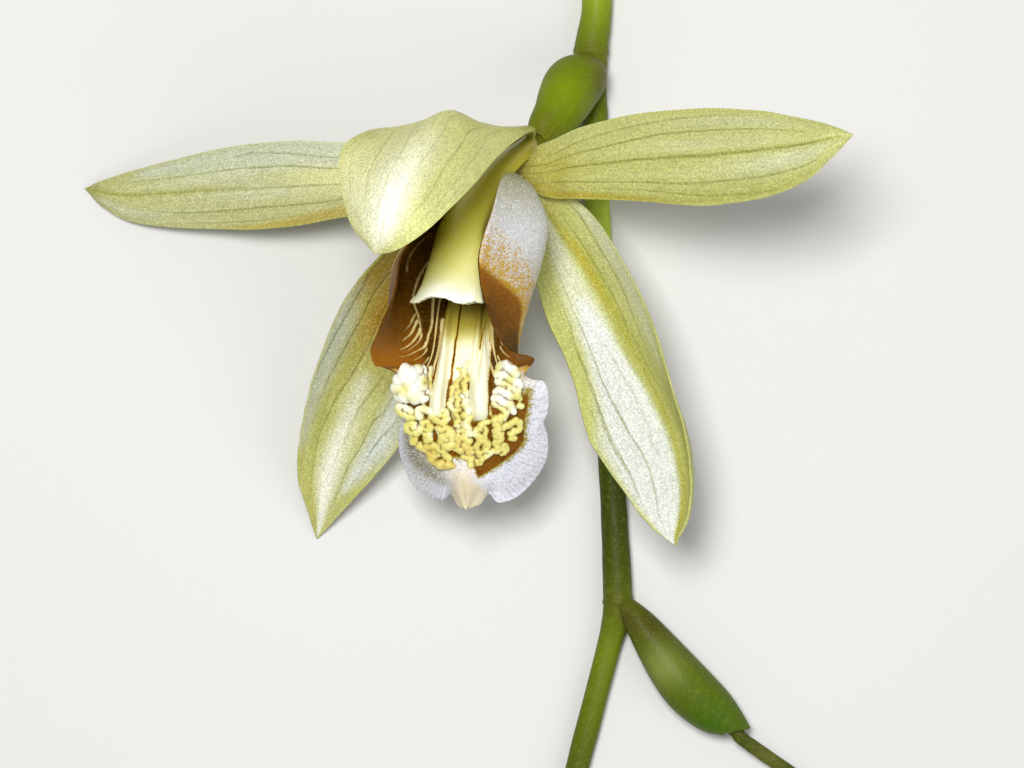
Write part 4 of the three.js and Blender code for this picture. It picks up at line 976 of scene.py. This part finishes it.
def crestTree():
    tree = bpy.data.node_groups.new("crestBeads", "GeometryNodeTree")
    sockets = {"Geometry": "Geometry", "Bead Step": "Float", "Wobble": "Float", "Across": "Float",
               "Along": "Float", "Tall": "Float", "Side Lobe": "Float", "Side Reach": "Float",
               "Seed": "Int", "Finish": "Material"}
    for label, kind in sockets.items():
        tree.interface.new_socket(label, in_out="INPUT", socket_type=f"NodeSocket{kind}")
    tree.interface.new_socket("Geometry", in_out="OUTPUT", socket_type="NodeSocketGeometry")
    graph = Graph(tree)

    def given(label):
        return graph.node("NodeGroupInput", output=label)

    def chance(low, high, salt):
        values = {2: low, 3: high, "Seed": given("Seed") + salt}
        return graph.node("FunctionNodeRandomValue", {"data_type": "FLOAT"}, values, 1)

    def scaled(wide, long, tall):
        return graph.node("ShaderNodeCombineXYZ", None, {0: size * wide, 1: size * long, 2: size * tall})

    def moved(points, offset):
        return graph.node("GeometryNodeSetPosition", None, {"Geometry": points, "Offset": offset})

    def placed(points, scale):
        values = {"Points": points, "Instance": bead, "Rotation": facing, "Scale": scale}
        return graph.node("GeometryNodeInstanceOnPoints", None, values)

    curve = graph.node("GeometryNodeMeshToCurve", None, {"Mesh": given("Geometry")})
    points = graph.node("GeometryNodeResampleCurve", {"mode": "LENGTH"},
                        {"Curve": curve, "Length": given("Bead Step")})
    size, knob = (graph.node("GeometryNodeInputNamedAttribute", {"data_type": "FLOAT"}, {"Name": name})
                  for name in ("size", "knob"))
    tangent = graph.node("GeometryNodeInputTangent")
    facing = graph.node("FunctionNodeAlignRotationToVector", {"axis": "Y"}, {"Vector": tangent})
    sideways = graph.vector("CROSS_PRODUCT", tangent, (0, 0, 1))
    bead = graph.node("GeometryNodeMeshIcoSphere", None, {"Radius": 1.0, "Subdivisions": 3})
    sway = size * given("Wobble") * chance(-1.0, 1.0, 1)
    points = moved(points, graph.scaled(sideways, sway))
    wide, long = given("Across") * chance(0.75, 1.15, 2), given("Along") * chance(0.85, 1.2, 3)
    beads = placed(points, scaled(wide, long, given("Tall") * chance(0.8, 1.15, 4)))
    turn = (graph.node("GeometryNodeInputIndex") * 0.5).fraction() * 4 - 1
    reach = size * given("Side Reach") * turn * chance(0.7, 1.2, 5)
    shifted = moved(points, graph.scaled(sideways, reach))
    lobe = given("Side Lobe") * chance(0.8, 1.2, 6) * knob
    lobes = placed(shifted, scaled(lobe, lobe, lobe))
    joined = graph.node("GeometryNodeJoinGeometry", None, {"Geometry": beads})
    tree.links.new(lobes.socket, joined.socket.node.inputs["Geometry"])
    whole = graph.node("GeometryNodeRealizeInstances", None, {"Geometry": joined})
    whole = graph.node("GeometryNodeSetMaterial", None, {"Geometry": whole, "Material": given("Finish")})
    graph.node("NodeGroupOutput", None, {"Geometry": whole})
    return tree


def setInputs(modifier, values):
    for item in modifier.node_group.interface.items_tree:
        if item.in_out == "INPUT" and item.name in values:
            modifier[item.identifier] = values[item.name]


def settledMesh(piece):          # the piece with its modifiers applied, as a plain mesh, and the piece gone
    graph = bpy.context.evaluated_depsgraph_get()
    mesh = bpy.data.meshes.new_from_object(piece.evaluated_get(graph), depsgraph=graph)
    bpy.data.objects.remove(piece)
    return mesh


def makeCrest():
    floor = floorPoints()
    points, edges, sizes, knobs, tones = [], [], [], [], []
    for places, radius, tone, *lift in crestRows:
        line = curveAt(places, np.linspace(0, 1, 8 * len(places)))
        heights = floor[nearestTo(floor, line), 2] + (lift or [crest["lift"]])[0] * radius
        start = len(points)
        points += np.column_stack([line, heights]).tolist()
        edges += [(start + i, start + i + 1) for i in range(len(line) - 1)]
        sizes += [radius * mm] * len(line)
        smooth = 1 - min(tone / crest["smoothTone"], 1)
        knobs += [1 - (1 - crest["smoothKnob"]) * smooth] * len(line)
        tones += [tone] * len(line)
    mesh = bpy.data.meshes.new("crestLines")
    mesh.from_pydata((np.array(points) * mm).tolist(), edges, [])
    addField(mesh, "size", sizes)
    addField(mesh, "knob", knobs)
    finish = crestFinish()
    lines = newObject("crestLines", mesh)
    modifier = lines.modifiers.new("beads", "NODES")
    modifier.node_group = crestTree()
    setInputs(modifier, {"Bead Step": crest["beadStep"] * mm, "Wobble": crest["wobble"],
                         "Across": crest["across"], "Along": crest["alongRow"], "Tall": crest["tall"],
                         "Side Lobe": crest["sideLobe"], "Side Reach": crest["sideReach"],
                         "Seed": crest["seed"], "Finish": finish})
    fused = lines.modifiers.new("fused", "REMESH")
    fused.mode, fused.voxel_size = "VOXEL", crest["voxel"] * mm
    eased = lines.modifiers.new("eased", "SMOOTH")
    eased.factor, eased.iterations = 0.5, crest["smooth"]
    grown = settledMesh(lines)
    paintCrest(grown, floor, np.array(points), np.array(tones))
    grown.name = "crest"
    grown.shade_smooth()
    keepPiece("crest", grown, finish, "lip")


def hollows(mesh, rounds):       # how deep each point lies between its neighbours, in millimetres
    spots, out = np.empty(len(mesh.vertices) * 3), np.empty(len(mesh.vertices) * 3)
    mesh.vertices.foreach_get("co", spots)
    mesh.vertices.foreach_get("normal", out)
    pairs = np.empty(len(mesh.edges) * 2, int)
    mesh.edges.foreach_get("vertices", pairs)
    spots, out, pairs = spots.reshape(-1, 3) / mm, out.reshape(-1, 3), pairs.reshape(-1, 2)
    count = np.bincount(pairs.ravel(), minlength=len(spots))[:, None]
    soft = spots
    for _ in range(rounds):
        total = np.zeros_like(soft)
        for axis in range(3):
            total[:, axis] = (np.bincount(pairs[:, 0], soft[pairs[:, 1], axis], len(spots))
                              + np.bincount(pairs[:, 1], soft[pairs[:, 0], axis], len(spots)))
        soft = total / count
    return spots, ((soft - spots) * out).sum(1)


def paintCrest(mesh, floor, points, tones):
    spots, depth = hollows(mesh, crest["hollowRounds"])
    nearest = nearestTo(points, spots)
    ground = floor[nearestTo(floor, spots), 2]
    tone = tones[nearest] + crest["toneDrift"] * drift(12, 8, *(spots.T * 2.5))
    pale, yellow, golden, deep = (tint(code) for code in crest["colours"])
    share, turn = np.clip(tone, 0, 1)[:, None], crest["yellowTone"]
    colour = np.where(share < turn, pale + (yellow - pale) * share / turn,
                      yellow + (golden - yellow) * (share - turn) / (1 - turn))
    # painted shade: darker towards the lip and in the hollows between beads; painted highlight: lighter on
    # the beads' tops
    shade = crest["whiteShade"] + crest["yellowShade"] * step(tones[nearest], 0.02, crest["smoothTone"])
    height = step(spots[:, 2] - ground, -0.1, 0.5) * (1 - shade * step(depth, *crest["hollow"]))
    height = height + crest["topLight"] * step(-depth, *crest["hollow"])
    paintMesh(mesh, deep + (colour - deep) * np.clip(height, 0, 1)[:, None])


def crestFinish():
    finish, graph, surface = newFinish("crestSkin", {
        "Roughness": 0.38, "Specular IOR Level": 0.35, "Subsurface Weight": 0.25,
        "Subsurface Scale": 0.001, "Subsurface Radius": (0.7, 0.5, 0.15)})
    grain = graph.noise(graph.place(), 5200, 3, 0.6)
    flesh = graph.attribute("flesh", "Color")
    colour = graph.blend(grain.smooth(0.55, 0.75) * 0.25, flesh, (1, 1, 0.88, 1))
    setFinish(graph, surface, colour, grain, 0.00003)
    return finish


makeCrest()


# column: stations [x, y, z, half width] from its foot to its hooded end

column = {
    "stations": [[6.2, 18, 9, 0.6], [3.6, 15.6, 12.7, 1.25], [2.1, 13.4, 15.2, 1.6], [1, 11.2, 17, 1.85],
                 [0.6, 9, 18.8, 2.05], [0.3, 7, 19.7, 2.4], [0.1, 6.1, 20, 2.65], [-0.05, 5.5, 20, 2.95]],
    # how far the pillar reaches out of its back and out of its front at each station
    "back": [0.7, 0.8, 0.9, 0.95, 1, 1, 1, 1],
    "front": [0.5, 0.5, 0.5, 0.4, 0.1, -0.45, -0.6, -0.65],
    # the hood's edge is nibbled a little, and its corners roll out
    "edge": 0.14, "rows": 150, "arc": 60, "nibble": [0.025, 41], "roll": 0.12, "base": 0xDCDA5C,
    # colour, place across, reach across, place along, reach along, strength
    # the bright yellow at the middle is painted light against the dorsal sepal's shadow; the olive towards
    # the foot is partly the column's colour and partly painted shade
    "zones": [[0xA49A32, 0, 3, 0, 0.2, 0.9], [0xD6C22C, 0.2, 3, 0.25, 0.14, 0.7],
              [0xF6EA50, -0.2, 1.3, 0.46, 0.16, 0.9], [0xE4DE86, 0.75, 0.5, 0.66, 0.16, 0.7],
              [0xFCFDF0, 0.1, 1.3, 0.96, 0.23, 1]],
    # how far the hood's edge reaches past its middle: place across it, reach
    "teeth": [[-1, 0.66], [-0.88, 0.62], [-0.76, 0.55], [-0.5, 0.06], [-0.32, -0.16], [-0.14, -0.2],
              [0.12, -0.28], [0.42, -0.1], [0.62, -0.2], [0.78, -0.42], [0.86, -0.6], [0.93, -0.5],
              [1, -0.72]],
}


def columnFrame(t):              # place, out of the right side, out of the back, along
    stations = np.array(column["stations"])
    place = curveAt(stations[:, :3], t)
    ahead, behind = (curveAt(stations[:, :3], np.clip(t + nudge, 0, 1)) for nudge in (0.002, -0.002))
    along = unit(ahead - behind)
    side = np.array([math.cos(faceTurn), 0, math.sin(faceTurn)])
    side = unit(side - along * (along @ side)[:, None])
    return place, side, np.cross(along, side), along


def makeColumn():
    t = np.linspace(0, 1, column["rows"])
    place, side, back, along = (part[:, None] for part in columnFrame(t))
    halfWidth = curveAt(np.array(column["stations"])[:, 3], t)[:, None]
    angle = np.linspace(0, math.pi, column["arc"] + 1)[None]
    rings, (nibble, often) = [], column["nibble"]
    for turn, depth in ((1, "back"), (-1, "front")):
        across = turn * np.cos(angle)
        rise = turn * (curveAt(np.array(column[depth]), t)[:, None] * np.sin(angle) + column["edge"])
        ring = place + side * (halfWidth * across)[..., None] + back * rise[..., None]
        tooth = np.interp(across, *np.transpose(column["teeth"])) + nibble * np.sin(across * often)
        ring = ring + along * (tooth * step(t, 0.62, 1)[:, None])[..., None]
        roll = column["roll"] * turn * step(t, 0.93, 1)[:, None] * np.abs(across) ** 3
        rings.append(ring + back * roll[..., None])
    grid = np.concatenate(rings, 1)
    size = grid.shape[1]
    faces = ringFaces(len(t), size) + flatEnds(len(t), size)
    u = np.broadcast_to(np.concatenate([np.cos(angle[0]), -np.cos(angle[0])]), (len(t), size))
    colour = paint(column["base"], column["zones"], u, np.broadcast_to(t[:, None], u.shape))
    mesh = makeMesh("columnPillar", grid, faces, colour)
    keepPiece("columnPillar", mesh, waxyFinish("columnSkin", 0.34, 2400), "column", "column")


waxSkin = {"warm": 0xC9B850, "warmShare": 0.1, "pale": (1, 1, 0.86, 1), "paleShare": 0.15, "bump": 0.00002}


def waxyFinish(name, roughness, scale):
    finish, graph, surface = newFinish(name, {
        "Roughness": roughness, "Specular IOR Level": 0.3, "Subsurface Weight": 0.2,
        "Subsurface Scale": 0.001, "Subsurface Radius": (0.7, 0.7, 0.25)})
    skin, place = waxSkin, graph.place()
    grain = graph.noise(place, scale, 3, 0.6)
    warm = graph.noise(place, scale / 8).smooth(0.35, 0.7) * skin["warmShare"]
    colour = graph.tinted(warm, graph.attribute("flesh", "Color"), skin["warm"])
    colour = graph.blend(grain.smooth(0.55, 0.75) * skin["paleShare"], colour, skin["pale"])
    setFinish(graph, surface, colour, grain, skin["bump"])
    return finish


makeColumn()


# anther cap and the four pollen masses under the hood

anther = {"place": 0.76, "radius": 0.88, "depth": 0.8, "wall": 0.2, "below": 0.3, "furrow": 0.1,
          "sides": 64, "rings": 20, "lip": 0.06, "base": 0xF1ECC0}
pollen = {"radius": 0.38, "notch": 0.36, "height": 0.14, "below": 0.36, "base": 0xE2B23C}


def underHood(points, below):    # points made about Z, turned so that Z points out of the column's back
    place, side, back = (part[0] for part in columnFrame(np.array([anther["place"]]))[:3])
    return place - back * below + points @ np.stack([side, np.cross(back, side), back])


def makeAnther():
    turns = np.linspace(0, 2 * math.pi, anther["sides"], endpoint=False)
    rise = np.linspace(math.pi / 2, anther["lip"], anther["rings"])

    def bowl(inset):
        radius, depth = anther["radius"] - inset, anther["depth"] - inset
        furrow = 1 - anther["furrow"] * np.abs(np.cos(turns)) ** 12
        ring = radius * np.sin(rise)[:, None] * furrow
        height = np.broadcast_to(-depth * np.cos(rise)[:, None], ring.shape)
        return np.stack([ring * np.cos(turns), ring * np.sin(turns), height], -1)
    grid = np.concatenate([bowl(0)[::-1], bowl(anther["wall"])])
    rows, size = grid.shape[:2]
    faces = ringFaces(rows, size) + roundEnds(rows, size)
    points = underHood(grid.reshape(-1, 3), anther["below"])
    mesh = makeMesh("antherCap", points, faces, markColours(anther["base"], [], points))
    keepPiece("antherCap", mesh, waxyFinish("antherSkin", 0.4, 3600), "column", "anther_cap")


def makePollen():
    body = bmesh.new()
    bmesh.ops.create_icosphere(body, subdivisions=5, radius=1)
    ball = np.array([vertex.co for vertex in body.verts])
    faces = [[vertex.index for vertex in face.verts] for face in body.faces]
    body.free()
    turn = np.arctan2(ball[:, 1], ball[:, 0])
    lobe = pollen["radius"] * (1 - pollen["notch"] * np.abs(np.cos(2 * turn)) ** 0.8)
    points = np.column_stack([ball[:, 0] * lobe, ball[:, 1] * lobe, ball[:, 2] * pollen["height"]])
    points = underHood(points, pollen["below"])
    mesh = makeMesh("pollenMasses", points, faces, markColours(pollen["base"], [], points))
    keepPiece("pollenMasses", mesh, waxyFinish("pollenWax", 0.3, 5000), "pollen", "pollinarium")


makeAnther()
makePollen()


# flower stem, bracts and flower stalks: stations [x, y, z, radius], and [x, y, radius] for the flower
# stem, which lies on the floor

roundSides = 12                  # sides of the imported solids, whose lowest facet lies on the floor
stem = {
    "node": "flower_stem", "base": 0x5C6A0A, "sides": 72, "rows": 620,
    "stations": [[11.5, 35.5, 1.2], [11.5, 31.7, 1.2], [11.4, 28.9, 1.2], [11, 25.9, 1.35],
                 [11.2, 23.3, 1.05], [11.4, 18.9, 0.97], [11.5, 14.2, 0.97], [11.9, 6.2, 1],
                 [12.3, -1.8, 1.03], [12.8, -10.1, 1.05], [13.1, -16.5, 1.15], [13.1, -18.7, 1.15],
                 [12.3, -21.9, 0.95], [9.9, -31.1, 0.92], [8.8, -35.3, 0.9]],
    # colour, point, reach, strength
    "marks": [
        [0xA9BD2A, [11.5, 33, 1.2], 4.5, 0.95],
        # painted light where the right petal's shadow falls on the stem
        [0xC4D84E, [11.6, 12.5, 1], 3.6, 0.9],
        # painted shade on the stretch under the flower
        [0x262E00, [12.9, -11, 1], 7, 0.92],
        [0x708212, [12.2, -22.5, 1], 3.6, 0.7],
        [0x3A4602, [9.4, -32.5, 1], 4.5, 0.6],
        [0x6A5620, [11.1, 25.7, 1.8], 0.9, 0.85],
        [0x4E4418, [13.1, -17.4, 1.2], 1.3, 0.6],
        [0x4E3C16, [13.6, -18.9, 1.4], 0.9, 0.7],
    ],
    # swollen rings at the nodes: place along, reach along, rise
    "rings": [[0.214, 0.006, 0.09], [0.224, 0.005, -0.05], [0.753, 0.012, 0.1]],
}
bracts = {
    "upperBract": {
        "node": "upper_bract", "base": 0x6A7806, "seed": 41, "ragged": 0.07, "slant": 0, "wall": 0.26,
        "stations": [[10.95, 23.9, 1.6, 1.4], [10.5, 23.7, 2.6, 1.92], [10, 23.4, 3.5, 2.2],
                     [9.4, 22.9, 4.4, 2.28], [8.8, 21.8, 5.4, 2.2], [8.15, 20.6, 6.4, 1.92],
                     [7.35, 19.6, 7.1, 1.5], [6.9, 18.95, 7.45, 1.22], [6.6, 18.5, 7.6, 1.16]],
        "marks": [
            [0x6A5A1C, [10.9, 24.9, 3.2], 1.3, 0.9],
            [0x645810, [11.9, 23.2, 4.4], 1.4, 0.8],
            [0x809606, [8.6, 22.2, 6.6], 1.9, 0.9],
            [0x6C6414, [6.9, 19.1, 8], 1.1, 0.85],
            [0x525A06, [11.3, 22.6, 4], 1.7, 0.7],
            [0x525C08, [8, 24, 4], 1.2, 0.5],
        ],
    },
    "lowerBract": {
        "node": "lower_bract", "base": 0x54640A, "seed": 43, "ragged": 0.1, "slant": 1.5, "wall": 0.2,
        "stations": [[13.3, -17.6, 1.6, 0.55], [14.2, -18.6, 1.95, 0.95], [15.1, -19.8, 2.1, 1.35],
                     [16.2, -21.4, 2.15, 1.72], [17.4, -23, 2.15, 1.95], [18.9, -24.8, 2.15, 2.06],
                     [20.6, -26.4, 2.1, 1.9], [22, -27.7, 2, 1.5], [22.8, -28.4, 1.9, 1.1]],
        "marks": [
            [0x4E4214, [13.6, -19.2, 2.4], 1.6, 0.85],
            [0x443A0C, [15.8, -19.6, 2.8], 1.7, 0.85],
            [0x4E4410, [17.8, -21.4, 2.8], 1.5, 0.5],
            [0x86924A, [16.4, -23, 3.6], 1.7, 0.7],
            [0x346008, [20.4, -26.8, 3.4], 2.2, 0.8],
            [0x5A6C14, [20.4, -24.6, 3], 1.6, 0.5],
            [0x6E4A20, [21.2, -28.9, 2], 0.7, 0.8],
        ],
    },
}
stalks = {
    "upperStalk": {
        "node": "ovary_stalk", "base": 0x6C6E1C, "ribs": 0.12, "rows": 170,
        "stations": [[10.2, 24.8, 3.3, 0.45], [9.8, 23.7, 4, 0.5], [9, 22.1, 5.2, 0.55],
                     [8, 20.6, 6.5, 0.65], [7.1, 19.2, 7.3, 0.8], [6.2, 18, 7.8, 1.15], [5.4, 17, 8.1, 1.5],
                     [4.8, 16.2, 8.3, 1.45]],
        "marks": [[0x84741C, [5.2, 16.9, 8.6], 2.2, 0.85]],
    },
    "lowerStalk": {
        "node": "lower_stalk", "base": 0x40480C, "ribs": 0.05, "rows": 200,
        "stations": [[15, -19.1, 2.2, 0.36], [15.9, -20.8, 2.1, 0.45], [17.1, -22.6, 2.1, 0.5],
                     [18.8, -24.7, 2.15, 0.55], [20.8, -26.6, 2.1, 0.55], [22.4, -28, 2, 0.55],
                     [23.2, -28.8, 1.85, 0.55], [26.4, -31.1, 1.1, 0.55], [28.4, -32.6, 0.75, 0.55]],
        "marks": [[0x6A6830, [25, -30.2, 1.9], 1.6, 0.6]],
    },
}
cutFace = {"shrink": [0.94, 0.8, 0.62, 0.42, 0.22], "dome": 0.06, "pith": 0xB4B87C, "rind": 0x76863A,
           "rindInside": 0.75}


def tubeGrid(stations, rows, sides):
    t = np.linspace(0, 1, rows)
    stations = np.array(stations, float)
    place, radius = curveAt(stations[:, :3], t), curveAt(stations[:, 3], t)
    along = unit(np.gradient(place, axis=0))
    side = unit(np.cross(along, [0, 0, 1]))
    top = np.cross(side, along)
    turn = np.linspace(0, 2 * math.pi, sides, endpoint=False)
    out = side[:, None] * np.sin(turn)[None, :, None] - top[:, None] * np.cos(turn)[None, :, None]
    return place[:, None], out, radius[:, None], along[:, None], turn[None], t[:, None]


def addCaps(grid, colour, along):    # a slightly domed cut face at each end, with a rind around the pith
    caps, shades = [], []
    for end, sign in ((0, -1), (-1, 1)):
        hub = grid[end].mean(0)
        for share in cutFace["shrink"]:
            depth = sign * cutFace["dome"] * (1 - share ** 2) * along[end, 0]
            caps.append(hub + (grid[end] - hub) * share + depth)
            layer = "rind" if share > cutFace["rindInside"] else "pith"
            shades.append(np.broadcast_to(tint(cutFace[layer]), grid[end].shape))
    count = len(cutFace["shrink"])
    grid = np.concatenate([np.array(caps[:count])[::-1], grid, np.array(caps[count:])])
    colour = np.concatenate([np.array(shades[:count])[::-1], colour, np.array(shades[count:])])
    return grid, colour


def makeTube(name, values):
    sides = values.get("sides", 48)
    place, out, radius, along, turn, t = tubeGrid(values["stations"], values["rows"], sides)
    ribs = values.get("ribs", 0.02) * np.cos(3 * turn + 0.6) * step(t, 0.1, 0.6)
    swell = sum(rise * bell(t, where, width) for where, width, rise in values.get("rings", []))
    uneven = 0.02 * drift(21, 8, t * 90, np.sin(turn) * 2, np.cos(turn) * 2)
    grid = place + out * (radius * (1 + ribs) + swell + uneven)[..., None]
    grid, colour = addCaps(grid, markColours(values["base"], values["marks"], grid), along)
    grid[..., 2] = np.maximum(grid[..., 2], 0)
    faces = ringFaces(len(grid), sides) + roundEnds(len(grid), sides)
    mesh = makeMesh(name, grid, faces, colour)
    keepPiece(name, mesh, stemFinish(name + "Skin"), "stem", values["node"])


bractForm = {"rows": 130, "sides": 96, "fold": 0.05, "uneven": 0.03}


def makeBract(name, values):
    form, seed = bractForm, values["seed"]
    place, out, radius, along, turn, t = tubeGrid(values["stations"], form["rows"], form["sides"])
    ragged = values["ragged"] * drift(seed, 10, np.sin(turn) * 7, np.cos(turn) * 7) * step(t, 0.9, 1)
    fold = form["fold"] * bell(turn, math.pi * 1.2, 0.12) * step(t, 0.15, 0.4)
    uneven = form["uneven"] * drift(seed + 1, 8, t * 9, np.sin(turn) * 2, np.cos(turn) * 2)
    ragged = ragged - values["slant"] * (0.5 + 0.5 * np.sin(turn)) * step(t, 0.7, 1)
    wall = values["wall"] * (1 - 0.5 * step(t, 0.75, 1))
    outer, inner = (place + out * (radius * (1 + uneven) + fold - inset)[..., None]
                    + along * ragged[..., None] for inset in (0, wall))
    grid = np.concatenate([outer, inner[::-1]])
    grid[..., 2] = np.maximum(grid[..., 2], 0)
    colour = markColours(values["base"], values["marks"], grid)
    mesh = makeMesh(name, grid, ringFaces(2 * form["rows"], form["sides"], True), colour)
    keepPiece(name, mesh, stemFinish(name + "Skin"), "bract", values["node"])


stemSkin = {"dusk": 0x485410, "duskShare": 0.2, "bright": 0x8E9E22, "brightShare": 0.14,
            "speck": 0xA8B43C, "speckShares": [0.08, 0.1], "pore": 0x3C460C, "poreShare": 0.12,
            "bump": 0.000014}


def stemFinish(name):
    finish, graph, surface = newFinish(name, {
        "Roughness": 0.46, "Specular IOR Level": 0.13, "Subsurface Weight": 0.08,
        "Subsurface Scale": 0.0006, "Subsurface Radius": (0.5, 0.7, 0.1)})
    skin, place = stemSkin, graph.place()
    speck = graph.flecks(place, 9000)
    fibre = graph.noise(place, 1800, 3, 0.6)
    broad = graph.noise(place, 260, 3)
    colour = graph.attribute("flesh", "Color")
    colour = graph.tinted(broad.smooth(0.35, 0.7) * skin["duskShare"], colour, skin["dusk"])
    colour = graph.tinted(fibre.smooth(0.5, 0.75) * skin["brightShare"], colour, skin["bright"])
    soft, sharp = skin["speckShares"]
    specks = speck.smooth(0.6, 1.0) * soft + speck.smooth(0.96, 0.99) * sharp
    colour = graph.tinted(specks, colour, skin["speck"])
    colour = graph.tinted((1 - speck).smooth(0.6, 1.0) * skin["poreShare"], colour, skin["pore"])
    setFinish(graph, surface, colour, speck * 0.4 + fibre, skin["bump"])
    return finish


facet = math.cos(math.pi / roundSides)
stem["stations"] = [[x, y, radius * facet, radius] for x, y, radius in stem["stations"]]
makeTube("flowerStem", stem)
for name, values in bracts.items():
    makeBract(name, values)
for name, values in stalks.items():
    makeTube(name, values)


# floor, light and camera

stageValues = {"floor": 1.2, "floorShade": 0xD9D8D5, "lens": 115.2, "sensor": 36,
               "eye": (4.7, -0.5, 262), "air": (0.97, 0.98, 1.0), "airStrength": 0.26}
lamps = {                        # place and aim in millimetres, side in metres, power in watts
    "keyLamp": {"place": (-30, 50, 300), "aim": (2, 4, 10), "side": 0.08, "power": 0.82},
    "fillLamp": {"place": (220, -160, 260), "aim": (2, 0, 10), "side": 0.3, "power": 0.38},
}


def makeStage():
    half = stageValues["floor"] / 2
    low = min(cadBox[0][2], 0) - 0.00002
    mesh = bpy.data.meshes.new("floor")
    mesh.from_pydata([(x * half, y * half, low) for x, y in ((-1, -1), (1, -1), (1, 1), (-1, 1))],
                     [], [(0, 1, 2, 3)])
    floor = newObject("floor", mesh)
    finish, graph, surface = newFinish("paleBoard", {"Roughness": 0.75})
    shade = graph.noise(graph.place(), 12, 3)
    colour = graph.blend(shade * 0.06, colourValue(stageValues["floorShade"]), (1, 1, 1, 1))
    setFinish(graph, surface, colour)
    mesh.materials.append(finish)


def makeLamp(name, values):
    lamp = bpy.data.lights.new(name, "AREA")
    lamp.size, lamp.energy = values["side"], values["power"]
    stand = newObject(name, lamp)
    start, aim = (np.array(values[key]) * mm for key in ("place", "aim"))
    stand.location = start
    turn = Vector(aim - start).to_track_quat("-Z", "Y")
    stand.rotation_euler = turn.to_euler()


def makeCamera():
    lens = bpy.data.cameras.new("eye")
    lens.lens, lens.sensor_width, lens.clip_start = stageValues["lens"], stageValues["sensor"], 0.005
    eye = newObject("eye", lens)
    eye.location = np.array(stageValues["eye"]) * mm
    bpy.context.scene.camera = eye


makeStage()
for name, values in lamps.items():
    makeLamp(name, values)
makeCamera()
air = bpy.data.worlds.new("air")
air.use_nodes = True
sky = air.node_tree.nodes["Background"].inputs
sky["Color"].default_value = (*stageValues["air"], 1)
sky["Strength"].default_value = stageValues["airStrength"]
bpy.context.scene.world = air
bpy.context.scene.view_settings.view_transform = "Standard"
print("floor, lamps and camera are in place")
